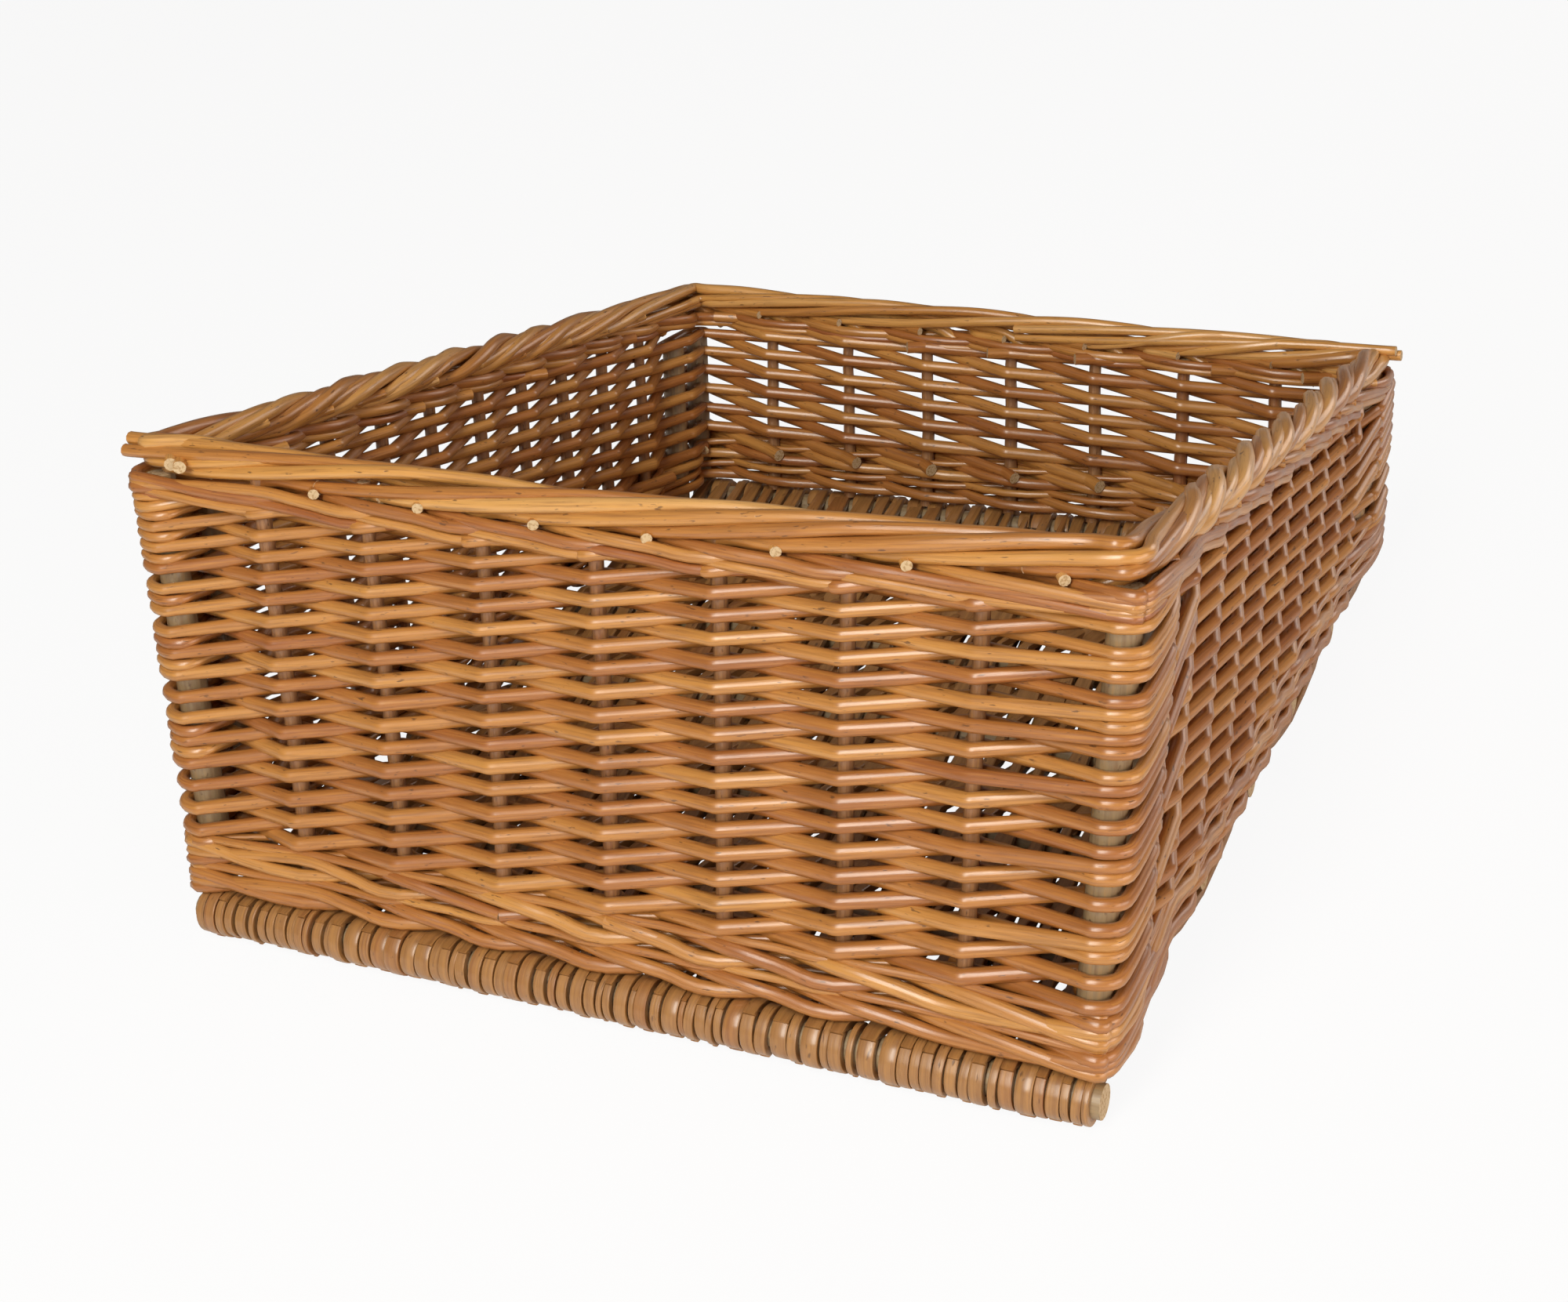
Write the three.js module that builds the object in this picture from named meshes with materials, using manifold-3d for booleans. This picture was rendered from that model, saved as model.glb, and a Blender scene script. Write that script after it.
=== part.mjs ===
// A willow shelf basket, wedge-shaped: tall along one edge, low along the other, its rim sloping between.
// Millimetres, +Z up, the tall wall towards -Y and the low wall towards +Y.
// Origin: centre of the underside of the base, which rests on z = 0.
import * as THREE from 'three';
import { mergeVertices } from 'three/addons/utils/BufferGeometryUtils.js';
import initManifold from 'manifold-3d';

// Overall form
const BASE_WIDTH = 400;
const BASE_DEPTH = 464;
const TALL_HEIGHT = 212;
const LOW_HEIGHT = 121;
const TALL_LEAN = 32;
const LOW_LEAN = 20;
const TALL_FLARE = 10;
const LOW_FLARE = 0;

// Base
const BASE_THICKNESS = 20;
const STICK_COUNT = 7;
const STICK_DIAMETER = 13;
const STICK_COVER = 0.8;
const WEAVER_WIDTH = 20.5;
const WEAVER_WAIST = 8;
const LAP_STEP = 0.8;
const SOCKET_DEPTH = 2;

// Uprights
const STAKES_LONG_WALL = 7;
const STAKES_SIDE_WALL = 9;
const STAKE_DIAMETER = 6;
const POST_DIAMETER = 12;

// Weaving rods
const ROD_DIAMETER = 6;
const ROW_GAP = 1.8;
const UPSET_WALE_RODS = 3;
const TOP_WALE_RODS = 2;
const WALE_REPEAT = 3;
const BORDER_RODS = 3;
const BORDER_ROD_DIAMETER = 8;
const BORDER_LAY = 135;
const BORDER_STEPS_PER_LAY = 6;

// Fits between pieces
const CLEARANCE = 0.3;
const WALE_GAP = 0.6;
const STRAND_GAP = 0.3;
const CORNER_GAP = 1;
const END_GAP = 2;
const WELD = 1e-4;

// Facets
const ROD_SIDES = 5;
const UPRIGHT_SIDES = 5;
const STICK_SIDES = 10;
const LAP_FACETS = 4;
const TURN_STEPS = 4;

const rodRadius = ROD_DIAMETER / 2;
const postRadius = POST_DIAMETER / 2;
const stakeRadius = STAKE_DIAMETER / 2;
const turnStretch = 1 / Math.cos(Math.PI / TURN_STEPS / 2);
const postReach = (postRadius + CLEARANCE + rodRadius) * turnStretch + rodRadius;
const strandSpacing = (BORDER_ROD_DIAMETER + STRAND_GAP) / Math.cos(Math.PI / BORDER_STEPS_PER_LAY);
const strandOffset = strandSpacing / (2 * Math.sin(Math.PI / BORDER_RODS));
const borderHeight = 2 * strandOffset + BORDER_ROD_DIAMETER;
const waleStep = ROD_DIAMETER + WALE_GAP;
const upsetBottom = BASE_THICKNESS + CLEARANCE;
const randBottom = upsetBottom + UPSET_WALE_RODS * waleStep;
const uprightTop = borderHeight + CLEARANCE;
const randTop = uprightTop + TOP_WALE_RODS * waleStep;

const barkWillow = new THREE.MeshStandardMaterial({ color: 0xb67b3c, roughness: 0.45, metalness: 0 });
const rimWillow = new THREE.MeshStandardMaterial({ color: 0xc68d4a, roughness: 0.4, metalness: 0 });
const stakeWillow = new THREE.MeshStandardMaterial({ color: 0x8a5228, roughness: 0.5, metalness: 0 });
const greyStick = new THREE.MeshStandardMaterial({ color: 0xa79b80, roughness: 0.7, metalness: 0 });

const basket = new THREE.Group();
basket.name = 'shelf_basket';

function addPiece(name, geometry, material) {
  const mesh = new THREE.Mesh(geometry, material);
  mesh.name = name;
  basket.add(mesh);
}

// A rod's centre line: straight runs between bends, each bend taking the direction halfway round.
class RodPath extends THREE.Curve {
  constructor(bends) {
    super();
    this.bends = bends;
  }

  getPoint(t) {
    const place = t * (this.bends.length - 1);
    const index = Math.min(Math.floor(place), this.bends.length - 2);
    return this.bends[index].clone().lerp(this.bends[index + 1], place - index);
  }

  getPointAt(t) {
    return this.getPoint(t);
  }

  getTangentAt(t) {
    const index = Math.round(t * (this.bends.length - 1));
    const before = this.bends[Math.max(index - 1, 0)];
    const here = this.bends[index];
    const after = this.bends[Math.min(index + 1, this.bends.length - 1)];
    const arriving = here.clone().sub(before).normalize();
    const leaving = after.clone().sub(here).normalize();
    return arriving.add(leaving).normalize();
  }
}

function polygon(radius, sides) {
  const corners = [];
  for (let i = 0; i < sides; i += 1) {
    const angle = (2 * Math.PI * i) / sides;
    corners.push(new THREE.Vector2(radius * Math.cos(angle), radius * Math.sin(angle)));
  }
  return new THREE.Shape(corners);
}

function rodAlong(bends, radius, sides) {
  const settings = { steps: bends.length - 1, extrudePath: new RodPath(bends) };
  return new THREE.ExtrudeGeometry(polygon(radius, sides), settings);
}

// One wall's middle surface, from foot line to rim line, with its uprights in order along it.
class Wall {
  constructor(name, start, end, stakeCount, postInset) {
    this.name = name;
    this.foot = [start.foot, end.foot];
    this.rim = [start.rim, end.rim];
    this.run = Math.min(start.foot.distanceTo(end.foot), start.rim.distanceTo(end.rim));
    const first = postInset / this.run;
    this.uprights = [];
    for (let i = 0; i <= stakeCount + 1; i += 1) {
      const isPost = i === 0 || i === stakeCount + 1;
      const s = first + ((1 - 2 * first) * i) / (stakeCount + 1);
      this.uprights.push({ s, isPost, radius: isPost ? postRadius : stakeRadius });
    }
    this.spacing = ((1 - 2 * first) * this.run) / (stakeCount + 1);
  }

  rimHeight(s) {
    return THREE.MathUtils.lerp(this.rim[0].z, this.rim[1].z, s);
  }

  at(s, height) {
    const low = this.foot[0].clone().lerp(this.foot[1], s);
    const high = this.rim[0].clone().lerp(this.rim[1], s);
    return low.lerp(high, height / this.rimHeight(s));
  }

  along() {
    return this.foot[1].clone().sub(this.foot[0]).normalize();
  }

  upward(s) {
    return this.at(s, this.rimHeight(s)).sub(this.at(s, 0)).normalize();
  }

  // Level direction out of the wall, so that a rod keeps its height as it passes in and out.
  outward() {
    return this.along().cross(new THREE.Vector3(0, 0, 1));
  }

  // Direction square to the leaning wall.
  facing(s) {
    return this.along().cross(this.upward(s)).normalize();
  }

  // How far a rod's centre line stands off the middle surface as it passes an upright.
  standoff(upright) {
    const touching = (upright.radius + CLEARANCE + rodRadius) / this.upward(upright.s).z;
    return upright.isPost ? touching * turnStretch : touching * Math.hypot(1, (2 * touching) / this.spacing);
  }

  passing(upright, height, side) {
    return this.at(upright.s, height).addScaledVector(this.outward(), side * this.standoff(upright));
  }
}

function corner(xSide, ySide) {
  const isTall = ySide < 0;
  const halfWidth = BASE_WIDTH / 2 - postReach;
  const halfDepth = BASE_DEPTH / 2 - postReach;
  const flare = isTall ? TALL_FLARE : LOW_FLARE;
  const lean = isTall ? TALL_LEAN : LOW_LEAN;
  const height = isTall ? TALL_HEIGHT : LOW_HEIGHT;
  return {
    foot: new THREE.Vector3(xSide * halfWidth, ySide * halfDepth, 0),
    rim: new THREE.Vector3(xSide * (halfWidth + flare), ySide * halfDepth + lean, height),
  };
}

const sidePostInset = 2 * postReach + CORNER_GAP;
const tallWall = new Wall('tall', corner(-1, -1), corner(1, -1), STAKES_LONG_WALL, 0);
const rightWall = new Wall('right', corner(1, -1), corner(1, 1), STAKES_SIDE_WALL, sidePostInset);
const lowWall = new Wall('low', corner(1, 1), corner(-1, 1), STAKES_LONG_WALL, 0);
const leftWall = new Wall('left', corner(-1, 1), corner(-1, -1), STAKES_SIDE_WALL, sidePostInset);
const walls = [tallWall, rightWall, lowWall, leftWall];

// Stakes and corner posts stand in shallow sockets in the base and end under the border.
const sockets = [];

for (const wall of walls) {
  wall.uprights.forEach((upright, index) => {
    const foot = wall.at(upright.s, BASE_THICKNESS - SOCKET_DEPTH + CLEARANCE);
    const head = wall.at(upright.s, wall.rimHeight(upright.s) - uprightTop);
    const line = [foot, head];
    const deeper = foot.clone().add(wall.upward(upright.s).multiplyScalar(-CLEARANCE));
    sockets.push(rodAlong([deeper, head], upright.radius + CLEARANCE, UPRIGHT_SIDES));
    if (upright.isPost) {
      const name = `${wall.name}_post_${index === 0 ? 'a' : 'b'}`;
      addPiece(name, rodAlong(line, upright.radius, UPRIGHT_SIDES), greyStick);
    } else {
      addPiece(`${wall.name}_stake_${index}`, rodAlong(line, upright.radius, UPRIGHT_SIDES), stakeWillow);
    }
  });
}

// A rod turning back round an upright, from one face of the wall to the other, climbing to the next row.
function turnBack(wall, upright, direction, side, fromHeight, toHeight) {
  const bends = [];
  const reach = Math.max(wall.standoff(upright), (upright.radius + CLEARANCE + rodRadius) * turnStretch);
  for (let i = 0; i <= TURN_STEPS; i += 1) {
    const angle = (Math.PI * i) / TURN_STEPS;
    const height = THREE.MathUtils.lerp(fromHeight, toHeight, i / TURN_STEPS);
    const bend = wall.at(upright.s, height);
    bend.addScaledVector(wall.outward(), side * reach * Math.cos(angle));
    bend.addScaledVector(wall.along(), direction * reach * Math.sin(angle));
    bends.push(bend);
  }
  return bends;
}

function rowsThatFit(wall) {
  const tallest = wall.rimHeight(wall.uprights[0].s) - randTop - randBottom;
  const count = Math.floor(tallest / (ROD_DIAMETER + ROW_GAP));
  return { count, pitch: tallest / count };
}

// One rod packed back and forth from the lowest row to the top one, every row following the rim.
// On a wall that gets lower along its run, the lower rows turn back early, where the room ends.
function randBends(wall) {
  const rows = rowsThatFit(wall);
  const last = wall.uprights.length - 1;
  const rowDepth = (row) => randTop + (rows.count - row - 0.5) * rows.pitch;
  const heightAt = (row, index) => {
    const s = wall.uprights[index].s;
    return wall.rimHeight(s) - rowDepth(row);
  };
  const hasRoom = (row, index) => heightAt(row, index) >= randBottom + 0.5 * rows.pitch - CLEARANCE;
  const farEnd = (row) => {
    let index = 0;
    while (index < last && hasRoom(row, index + 1)) {
      index += 1;
    }
    return index;
  };
  const sideOf = (row, index) => ((row + index) % 2 === 0 ? 1 : -1);
  const bends = [];
  for (let row = 0; row < rows.count; row += 1) {
    const outbound = row % 2 === 0;
    const reach = farEnd(outbound ? row : row - 1);
    const startIndex = outbound ? 0 : reach;
    const endIndex = outbound ? reach : 0;
    const step = outbound ? 1 : -1;
    if (reach === 0) {
      continue;
    }
    if (bends.length === 0) {
      bends.push(wall.passing(wall.uprights[startIndex], heightAt(row, startIndex), sideOf(row, startIndex)));
    }
    for (let index = startIndex + step; index !== endIndex; index += step) {
      bends.push(wall.passing(wall.uprights[index], heightAt(row, index), sideOf(row, index)));
    }
    const ending = wall.uprights[endIndex];
    if (row === rows.count - 1) {
      bends.push(wall.passing(ending, heightAt(row, endIndex), sideOf(row, endIndex)));
    } else {
      const heights = [heightAt(row, endIndex), heightAt(row + 1, endIndex)];
      bends.push(...turnBack(wall, ending, step, sideOf(row, endIndex), ...heights));
    }
  }
  return bends;
}

const mirrored = (bends) => bends.map((bend) => new THREE.Vector3(-bend.x, bend.y, bend.z));
const rightRand = randBends(rightWall);
addPiece('tall_wall_rand', rodAlong(randBends(tallWall), rodRadius, ROD_SIDES), barkWillow);
addPiece('low_wall_rand', rodAlong(randBends(lowWall), rodRadius, ROD_SIDES), barkWillow);
addPiece('right_wall_rand', rodAlong(rightRand, rodRadius, ROD_SIDES), barkWillow);
addPiece('left_wall_rand', rodAlong(mirrored(rightRand), rodRadius, ROD_SIDES), barkWillow);

// A quarter turn round the corner between two walls, outside the post that stands there.
function cornerTurn(wall, next, heightOf) {
  const post = wall.name === 'tall' || wall.name === 'low' ? wall.uprights.at(-1) : next.uprights[0];
  const owner = wall.name === 'tall' || wall.name === 'low' ? wall : next;
  const reach = owner.standoff(post);
  const bends = [];
  for (let i = 0; i <= TURN_STEPS / 2; i += 1) {
    const angle = (Math.PI * i) / TURN_STEPS;
    const bend = owner.at(post.s, heightOf(owner, post.s));
    bend.addScaledVector(wall.outward(), reach * Math.cos(angle));
    bend.addScaledVector(next.outward(), reach * Math.sin(angle));
    bends.push(bend);
  }
  return bends;
}

// A waling rod goes right round the basket: outside two stakes, inside one, and outside every post.
function waleBends(rodIndex, heightOf) {
  const bends = [];
  let passed = rodIndex;
  walls.forEach((wall, wallIndex) => {
    const next = walls[(wallIndex + 1) % walls.length];
    const ownsCorners = wall.name === 'tall' || wall.name === 'low';
    for (const upright of wall.uprights) {
      if (upright.isPost && ownsCorners) {
        continue;
      }
      passed += upright.isPost ? 0 : 1;
      const side = !upright.isPost && passed % WALE_REPEAT === 0 ? -1 : 1;
      bends.push(wall.passing(upright, heightOf(wall, upright.s), side));
    }
    bends.push(...cornerTurn(wall, next, heightOf));
  });
  const closing = bends.at(-1).clone().sub(bends[0]).setLength(END_GAP);
  bends.push(bends[0].clone().add(closing));
  return bends;
}

for (let i = 0; i < UPSET_WALE_RODS; i += 1) {
  const level = upsetBottom + (i + 0.5) * waleStep;
  const bends = waleBends(i, () => level);
  addPiece(`upset_wale_rod_${i + 1}`, rodAlong(bends, rodRadius, ROD_SIDES), barkWillow);
}

for (let i = 0; i < TOP_WALE_RODS; i += 1) {
  const depth = uprightTop + (i + 0.5) * waleStep;
  const bends = waleBends(i, (wall, s) => wall.rimHeight(s) - depth);
  addPiece(`top_wale_rod_${i + 1}`, rodAlong(bends, rodRadius, ROD_SIDES), barkWillow);
}

// The border: rods laid up like a rope along the rim, rounding the corners.
function borderStations() {
  const stations = [];
  const depth = borderHeight / 2;
  const stepLength = BORDER_LAY / BORDER_STEPS_PER_LAY;
  walls.forEach((wall, wallIndex) => {
    const next = walls[(wallIndex + 1) % walls.length];
    const margin = postReach / wall.run;
    const count = Math.round((wall.run - 2 * postReach) / stepLength);
    for (let i = 0; i <= count; i += 1) {
      const s = THREE.MathUtils.lerp(margin, 1 - margin, i / count);
      const place = wall.at(s, wall.rimHeight(s) - depth);
      stations.push({ place, outward: wall.facing(s), upward: wall.upward(s) });
    }
    const outward = wall.facing(1).add(next.facing(0)).normalize();
    const upward = wall.upward(1);
    const cut = postReach * (Math.SQRT2 - 1);
    const place = wall.at(1, wall.rimHeight(1) - depth).addScaledVector(outward, -cut);
    stations.push({ place, outward, upward });
  });
  const middle = Math.round(tallWall.run / stepLength / 2);
  return [...stations.slice(middle), ...stations.slice(0, middle)];
}

const stations = borderStations();
const travelled = [0];

for (let i = 1; i < stations.length; i += 1) {
  travelled.push(travelled[i - 1] + stations[i].place.distanceTo(stations[i - 1].place));
}

// Whole thirds of a turn in all, so that each rod's tip meets the butt of the next rod on.
const rimLength = travelled.at(-1) + stations.at(-1).place.distanceTo(stations[0].place);
const borderTurns = Math.round((rimLength * BORDER_RODS) / BORDER_LAY) / BORDER_RODS;

function strandBend(station, distance, strand) {
  const angle = 2 * Math.PI * ((borderTurns * distance) / rimLength + strand / BORDER_RODS);
  const bend = station.place.clone();
  bend.addScaledVector(station.outward, strandOffset * Math.cos(angle));
  return bend.addScaledVector(station.upward, strandOffset * Math.sin(angle));
}

for (let strand = 0; strand < BORDER_RODS; strand += 1) {
  const bends = stations.map((station, index) => strandBend(station, travelled[index], strand));
  const meeting = strandBend(stations[0], rimLength, strand);
  meeting.add(bends.at(-1).clone().sub(meeting).setLength(END_GAP));
  bends.push(meeting);
  addPiece(`border_rod_${strand + 1}`, rodAlong(bends, BORDER_ROD_DIAMETER / 2, ROD_SIDES), rimWillow);
}

// Base: thick sticks along X, with the base weavers lapped over them and round the two outer ones.
const wasm = await initManifold();
wasm.setup();

function toSolid(geometry) {
  const bare = new THREE.BufferGeometry();
  bare.setAttribute('position', geometry.getAttribute('position'));
  if (geometry.index) {
    bare.setIndex(geometry.index);
  }
  const welded = mergeVertices(bare, WELD);
  return new wasm.Manifold(new wasm.Mesh({
    numProp: 3,
    vertProperties: new Float32Array(welded.getAttribute('position').array),
    triVerts: new Uint32Array(welded.index.array),
  }));
}

function toGeometry(solid) {
  const mesh = solid.getMesh();
  const geometry = new THREE.BufferGeometry();
  geometry.setAttribute('position', new THREE.BufferAttribute(new Float32Array(mesh.vertProperties), 3));
  geometry.setIndex(new THREE.BufferAttribute(new Uint32Array(mesh.triVerts), 1));
  return geometry;
}

const halfThickness = BASE_THICKNESS / 2;
const halfSpan = BASE_DEPTH / 2 - halfThickness;
const stickSpacing = (2 * halfSpan) / (STICK_COUNT - 1);
const stickRadius = STICK_DIAMETER / 2;
const boreRadius = stickRadius + CLEARANCE;
const coverRadius = boreRadius + STICK_COVER;
const alongX = new THREE.Matrix4().makeBasis(
  new THREE.Vector3(0, 1, 0),
  new THREE.Vector3(0, 0, 1),
  new THREE.Vector3(1, 0, 0),
);
const stickPlaces = Array.from({ length: STICK_COUNT }, (_, i) => i * stickSpacing - halfSpan);

// Half way round an outer stick, from the upper face to the lower one.
function lapBends(y, outward, radius) {
  const bends = [];
  for (let i = 0; i <= LAP_FACETS; i += 1) {
    const angle = (Math.PI * i) / LAP_FACETS;
    const reach = outward * radius * Math.sin(angle);
    bends.push(new THREE.Vector2(y + reach, halfThickness + radius * Math.cos(angle)));
  }
  return bends;
}

// A weaver seen from the side: full height where it crosses over or under a stick, drawn in to its waist
// between the sticks, where the next weaver crosses it, and lapped round the first and last stick.
function weaverShape(side) {
  const lapRadius = side > 0 ? halfThickness : halfThickness - LAP_STEP;
  const upper = [];
  const lower = [];
  for (let i = 1; i < STICK_COUNT; i += 1) {
    const y = stickPlaces[i];
    const waistPlace = y - stickSpacing / 2;
    upper.push(new THREE.Vector2(waistPlace, halfThickness + WEAVER_WAIST / 2));
    lower.push(new THREE.Vector2(waistPlace, halfThickness - WEAVER_WAIST / 2));
    if (i === STICK_COUNT - 1) {
      break;
    }
    const crossesOver = (i % 2 === 0) === side > 0;
    const seat = crossesOver ? upper : lower;
    const cover = crossesOver ? lower : upper;
    const face = crossesOver ? 1 : -1;
    seat.push(new THREE.Vector2(y - stickRadius, halfThickness + face * halfThickness));
    seat.push(new THREE.Vector2(y + stickRadius, halfThickness + face * halfThickness));
    cover.push(new THREE.Vector2(y, halfThickness - face * coverRadius));
  }
  return new THREE.Shape([
    ...upper,
    ...lapBends(halfSpan, 1, lapRadius),
    ...lower.reverse(),
    ...lapBends(-halfSpan, -1, lapRadius).reverse(),
  ]);
}

// The packed weavers along each side, which the side stakes stand in.
const bandShape = new THREE.Shape([
  ...lapBends(halfSpan, 1, halfThickness),
  ...lapBends(-halfSpan, -1, halfThickness).reverse(),
]);

const lanesPerHalf = Math.floor((BASE_WIDTH / WEAVER_WIDTH - 1) / 2);
let baseWeave = null;

for (let lane = -lanesPerHalf; lane <= lanesPerHalf; lane += 1) {
  const isBand = Math.abs(lane) === lanesPerHalf;
  const shape = isBand ? bandShape : weaverShape(lane % 2 === 0 ? 1 : -1);
  const settings = { depth: WEAVER_WIDTH, bevelEnabled: false };
  const weaver = toSolid(new THREE.ExtrudeGeometry(shape, settings).applyMatrix4(alongX));
  const placed = weaver.translate([(lane - 0.5) * WEAVER_WIDTH, 0, 0]);
  baseWeave = baseWeave ? baseWeave.add(placed) : placed;
}

stickPlaces.forEach((y, index) => {
  const line = (reach) => [-reach, reach].map((x) => new THREE.Vector3(x, y, halfThickness));
  const stick = rodAlong(line(BASE_WIDTH / 2), stickRadius, STICK_SIDES);
  addPiece(`base_stick_${index + 1}`, stick, greyStick);
  baseWeave = baseWeave.subtract(toSolid(rodAlong(line(BASE_WIDTH), boreRadius, STICK_SIDES)));
});

for (const socket of sockets) {
  baseWeave = baseWeave.subtract(toSolid(socket));
}

addPiece('base_weave', toGeometry(baseWeave), barkWillow);

export default basket;
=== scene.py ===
import math
import random

import bpy
import numpy as np
from bpy.props import FloatProperty, FloatVectorProperty, IntProperty, PointerProperty
from mathutils import Matrix, Vector


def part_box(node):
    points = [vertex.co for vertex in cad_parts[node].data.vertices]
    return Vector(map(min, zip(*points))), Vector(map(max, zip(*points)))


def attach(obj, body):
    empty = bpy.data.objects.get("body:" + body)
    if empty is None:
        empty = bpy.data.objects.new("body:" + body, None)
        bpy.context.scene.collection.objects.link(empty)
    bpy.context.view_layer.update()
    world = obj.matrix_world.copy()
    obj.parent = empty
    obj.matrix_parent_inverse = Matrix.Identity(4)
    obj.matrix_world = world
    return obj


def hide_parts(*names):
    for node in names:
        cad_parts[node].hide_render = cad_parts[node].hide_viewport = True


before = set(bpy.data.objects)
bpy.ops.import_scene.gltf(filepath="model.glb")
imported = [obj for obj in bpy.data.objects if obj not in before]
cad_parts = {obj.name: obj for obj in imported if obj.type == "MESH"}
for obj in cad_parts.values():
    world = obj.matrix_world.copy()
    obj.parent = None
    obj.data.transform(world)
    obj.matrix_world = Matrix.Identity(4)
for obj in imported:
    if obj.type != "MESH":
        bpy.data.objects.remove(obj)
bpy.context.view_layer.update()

bl_info = {
    "name": "Willow Shelf Basket",
    "version": (1, 0, 0),
    "blender": (4, 5, 0),
    "location": "3D View > Sidebar > Basket",
    "description": "Weaves a wedge-shaped willow shelf basket over its packed solids",
    "category": "Object",
}

# The walls and the base as the frame has them
WALL_NAMES = ("tall", "right", "low", "left")
WALL_STAKES = (7, 9, 7, 9)
BASE_LOW, BASE_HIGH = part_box("base_weave")
STICK_NAMES = sorted(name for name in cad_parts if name.startswith("base_stick_"))
STICK_BOXES = [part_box(name) for name in STICK_NAMES]
BASE_WIDTH = STICK_BOXES[0][1].x - STICK_BOXES[0][0].x


def length(name, description, default):
    """A size in metres that the sidebar shows."""
    return FloatProperty(
        name=name, description=description, default=default, unit="LENGTH", precision=5
    )


def colour(name, description, default):
    """A linear colour that the sidebar shows."""
    return FloatVectorProperty(
        name=name,
        description=description,
        default=default,
        size=3,
        min=0.0,
        max=1.0,
        subtype="COLOR",
    )


class BasketSizes(bpy.types.PropertyGroup):
    """The sizes of the basket and its rods."""

    base_width: length("Base width", "Base, left to right", BASE_WIDTH)
    base_depth: length("Base depth", "Base, tall wall to low wall", BASE_HIGH.y - BASE_LOW.y)
    tall_height: length("Tall height", "Rim of the tall wall over the floor", 0.2085)
    low_height: length("Low height", "Rim of the low wall over the floor", 0.121)
    tall_lean: length("Tall lean", "How far the tall wall's rim leans in", 0.032)
    low_lean: length("Low lean", "How far the low wall's rim leans out", 0.020)
    tall_flare: length("Tall flare", "How far each end of the tall rim spreads", 0.010)
    tall_sag: length("Tall sag", "How far the middle of the tall rim sags", 0.003)
    back_left_rise: length("Back left rise", "How far the back left rim corner stands up", 0.010)
    corner_inset: length("Corner inset", "Corner post's middle inside the base edge", 0.01307)
    side_stake_inset: length("Side stake inset", "Corner to the first stake of a side wall", 0.0652)
    stake_diameter: length("Stake", "Diameter of a wall stake", 0.0064)
    post_diameter: length("Post", "Diameter of a corner post", 0.0125)
    rod_diameter: length("Weaving rod", "Diameter of a weaving rod", 0.0060)
    row_rise: length("Row rise", "How far a weaving rod climbs from upright to upright", 0.00495)
    wale_diameter: length("Wale rod", "Diameter of a wale rod", 0.0055)
    border_diameter: length("Border rod", "Diameter of a border rod", 0.0053)
    border_height: length("Border height", "Height of the rolled border", 0.0155)
    border_reach: FloatProperty(
        name="Border reach",
        description="Uprights that one border rod passes before it is trimmed",
        default=5.6,
    )
    weaver_pitch: length("Base weaver pitch", "Spacing of the weavers of the base", 0.0050)
    seed: IntProperty(name="Seed", description="Seed of the hand-made unevenness", default=7)


class BasketColours(bpy.types.PropertyGroup):
    """The finishes of the willow."""

    golden: colour("Golden willow", "Lightest weaving rods", (0.65, 0.318, 0.078))
    # Straw is partly the border's own paler skin and partly painted light: the border is made paler for
    # the light from above on its top and its highlights.
    straw_and_painted_light: colour("Straw", "Palest skin, on the rolled border", (0.76, 0.43, 0.15))
    buff: colour("Buff willow", "Most weaving rods", (0.47, 0.188, 0.041))
    russet: colour("Russet willow", "Darkest weaving rods", (0.33, 0.10, 0.024))
    weaver: colour("Base weaver", "Weavers of the base", (0.39, 0.19, 0.060))
    stain: colour("Stain", "Specks and scars on the rods", (0.10, 0.042, 0.016))
    # Stake is the stakes' own colour made darker as painted shade, so the stakes seen between the rods
    # give dark gaps.
    stake: colour("Stake", "Wall stakes", (0.38, 0.185, 0.075))
    bark: colour("Grey stick", "Corner posts and base sticks", (0.37, 0.265, 0.14))
    bark_shade: colour("Stick streak", "Darkest corner posts and base sticks", (0.21, 0.15, 0.085))
    cut: colour("Cut end", "Freshly cut rod ends", (0.62, 0.47, 0.28))
    pith: colour("Pith", "Grain of the cut ends", (0.40, 0.24, 0.10))
    floor: colour("Floor", "Studio floor", (0.90, 0.90, 0.90))


# Node tools
class Term:
    """One socket of a node tree. Arithmetic on terms adds Math nodes."""

    def __init__(self, bench, socket):
        self.bench = bench
        self.socket = socket

    def _math(self, operation, first, second):
        return self.bench.add("ShaderNodeMath", {"operation": operation}, {0: first, 1: second})

    def __add__(self, other):
        return self._math("ADD", self, other)

    def __radd__(self, other):
        return self._math("ADD", other, self)

    def __sub__(self, other):
        return self._math("SUBTRACT", self, other)

    def __rsub__(self, other):
        return self._math("SUBTRACT", other, self)

    def __mul__(self, other):
        return self._math("MULTIPLY", self, other)

    def __rmul__(self, other):
        return self._math("MULTIPLY", other, self)

    def __pow__(self, other):
        return self._math("POWER", self, other)

    def __rpow__(self, other):
        return self._math("POWER", other, self)


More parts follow.
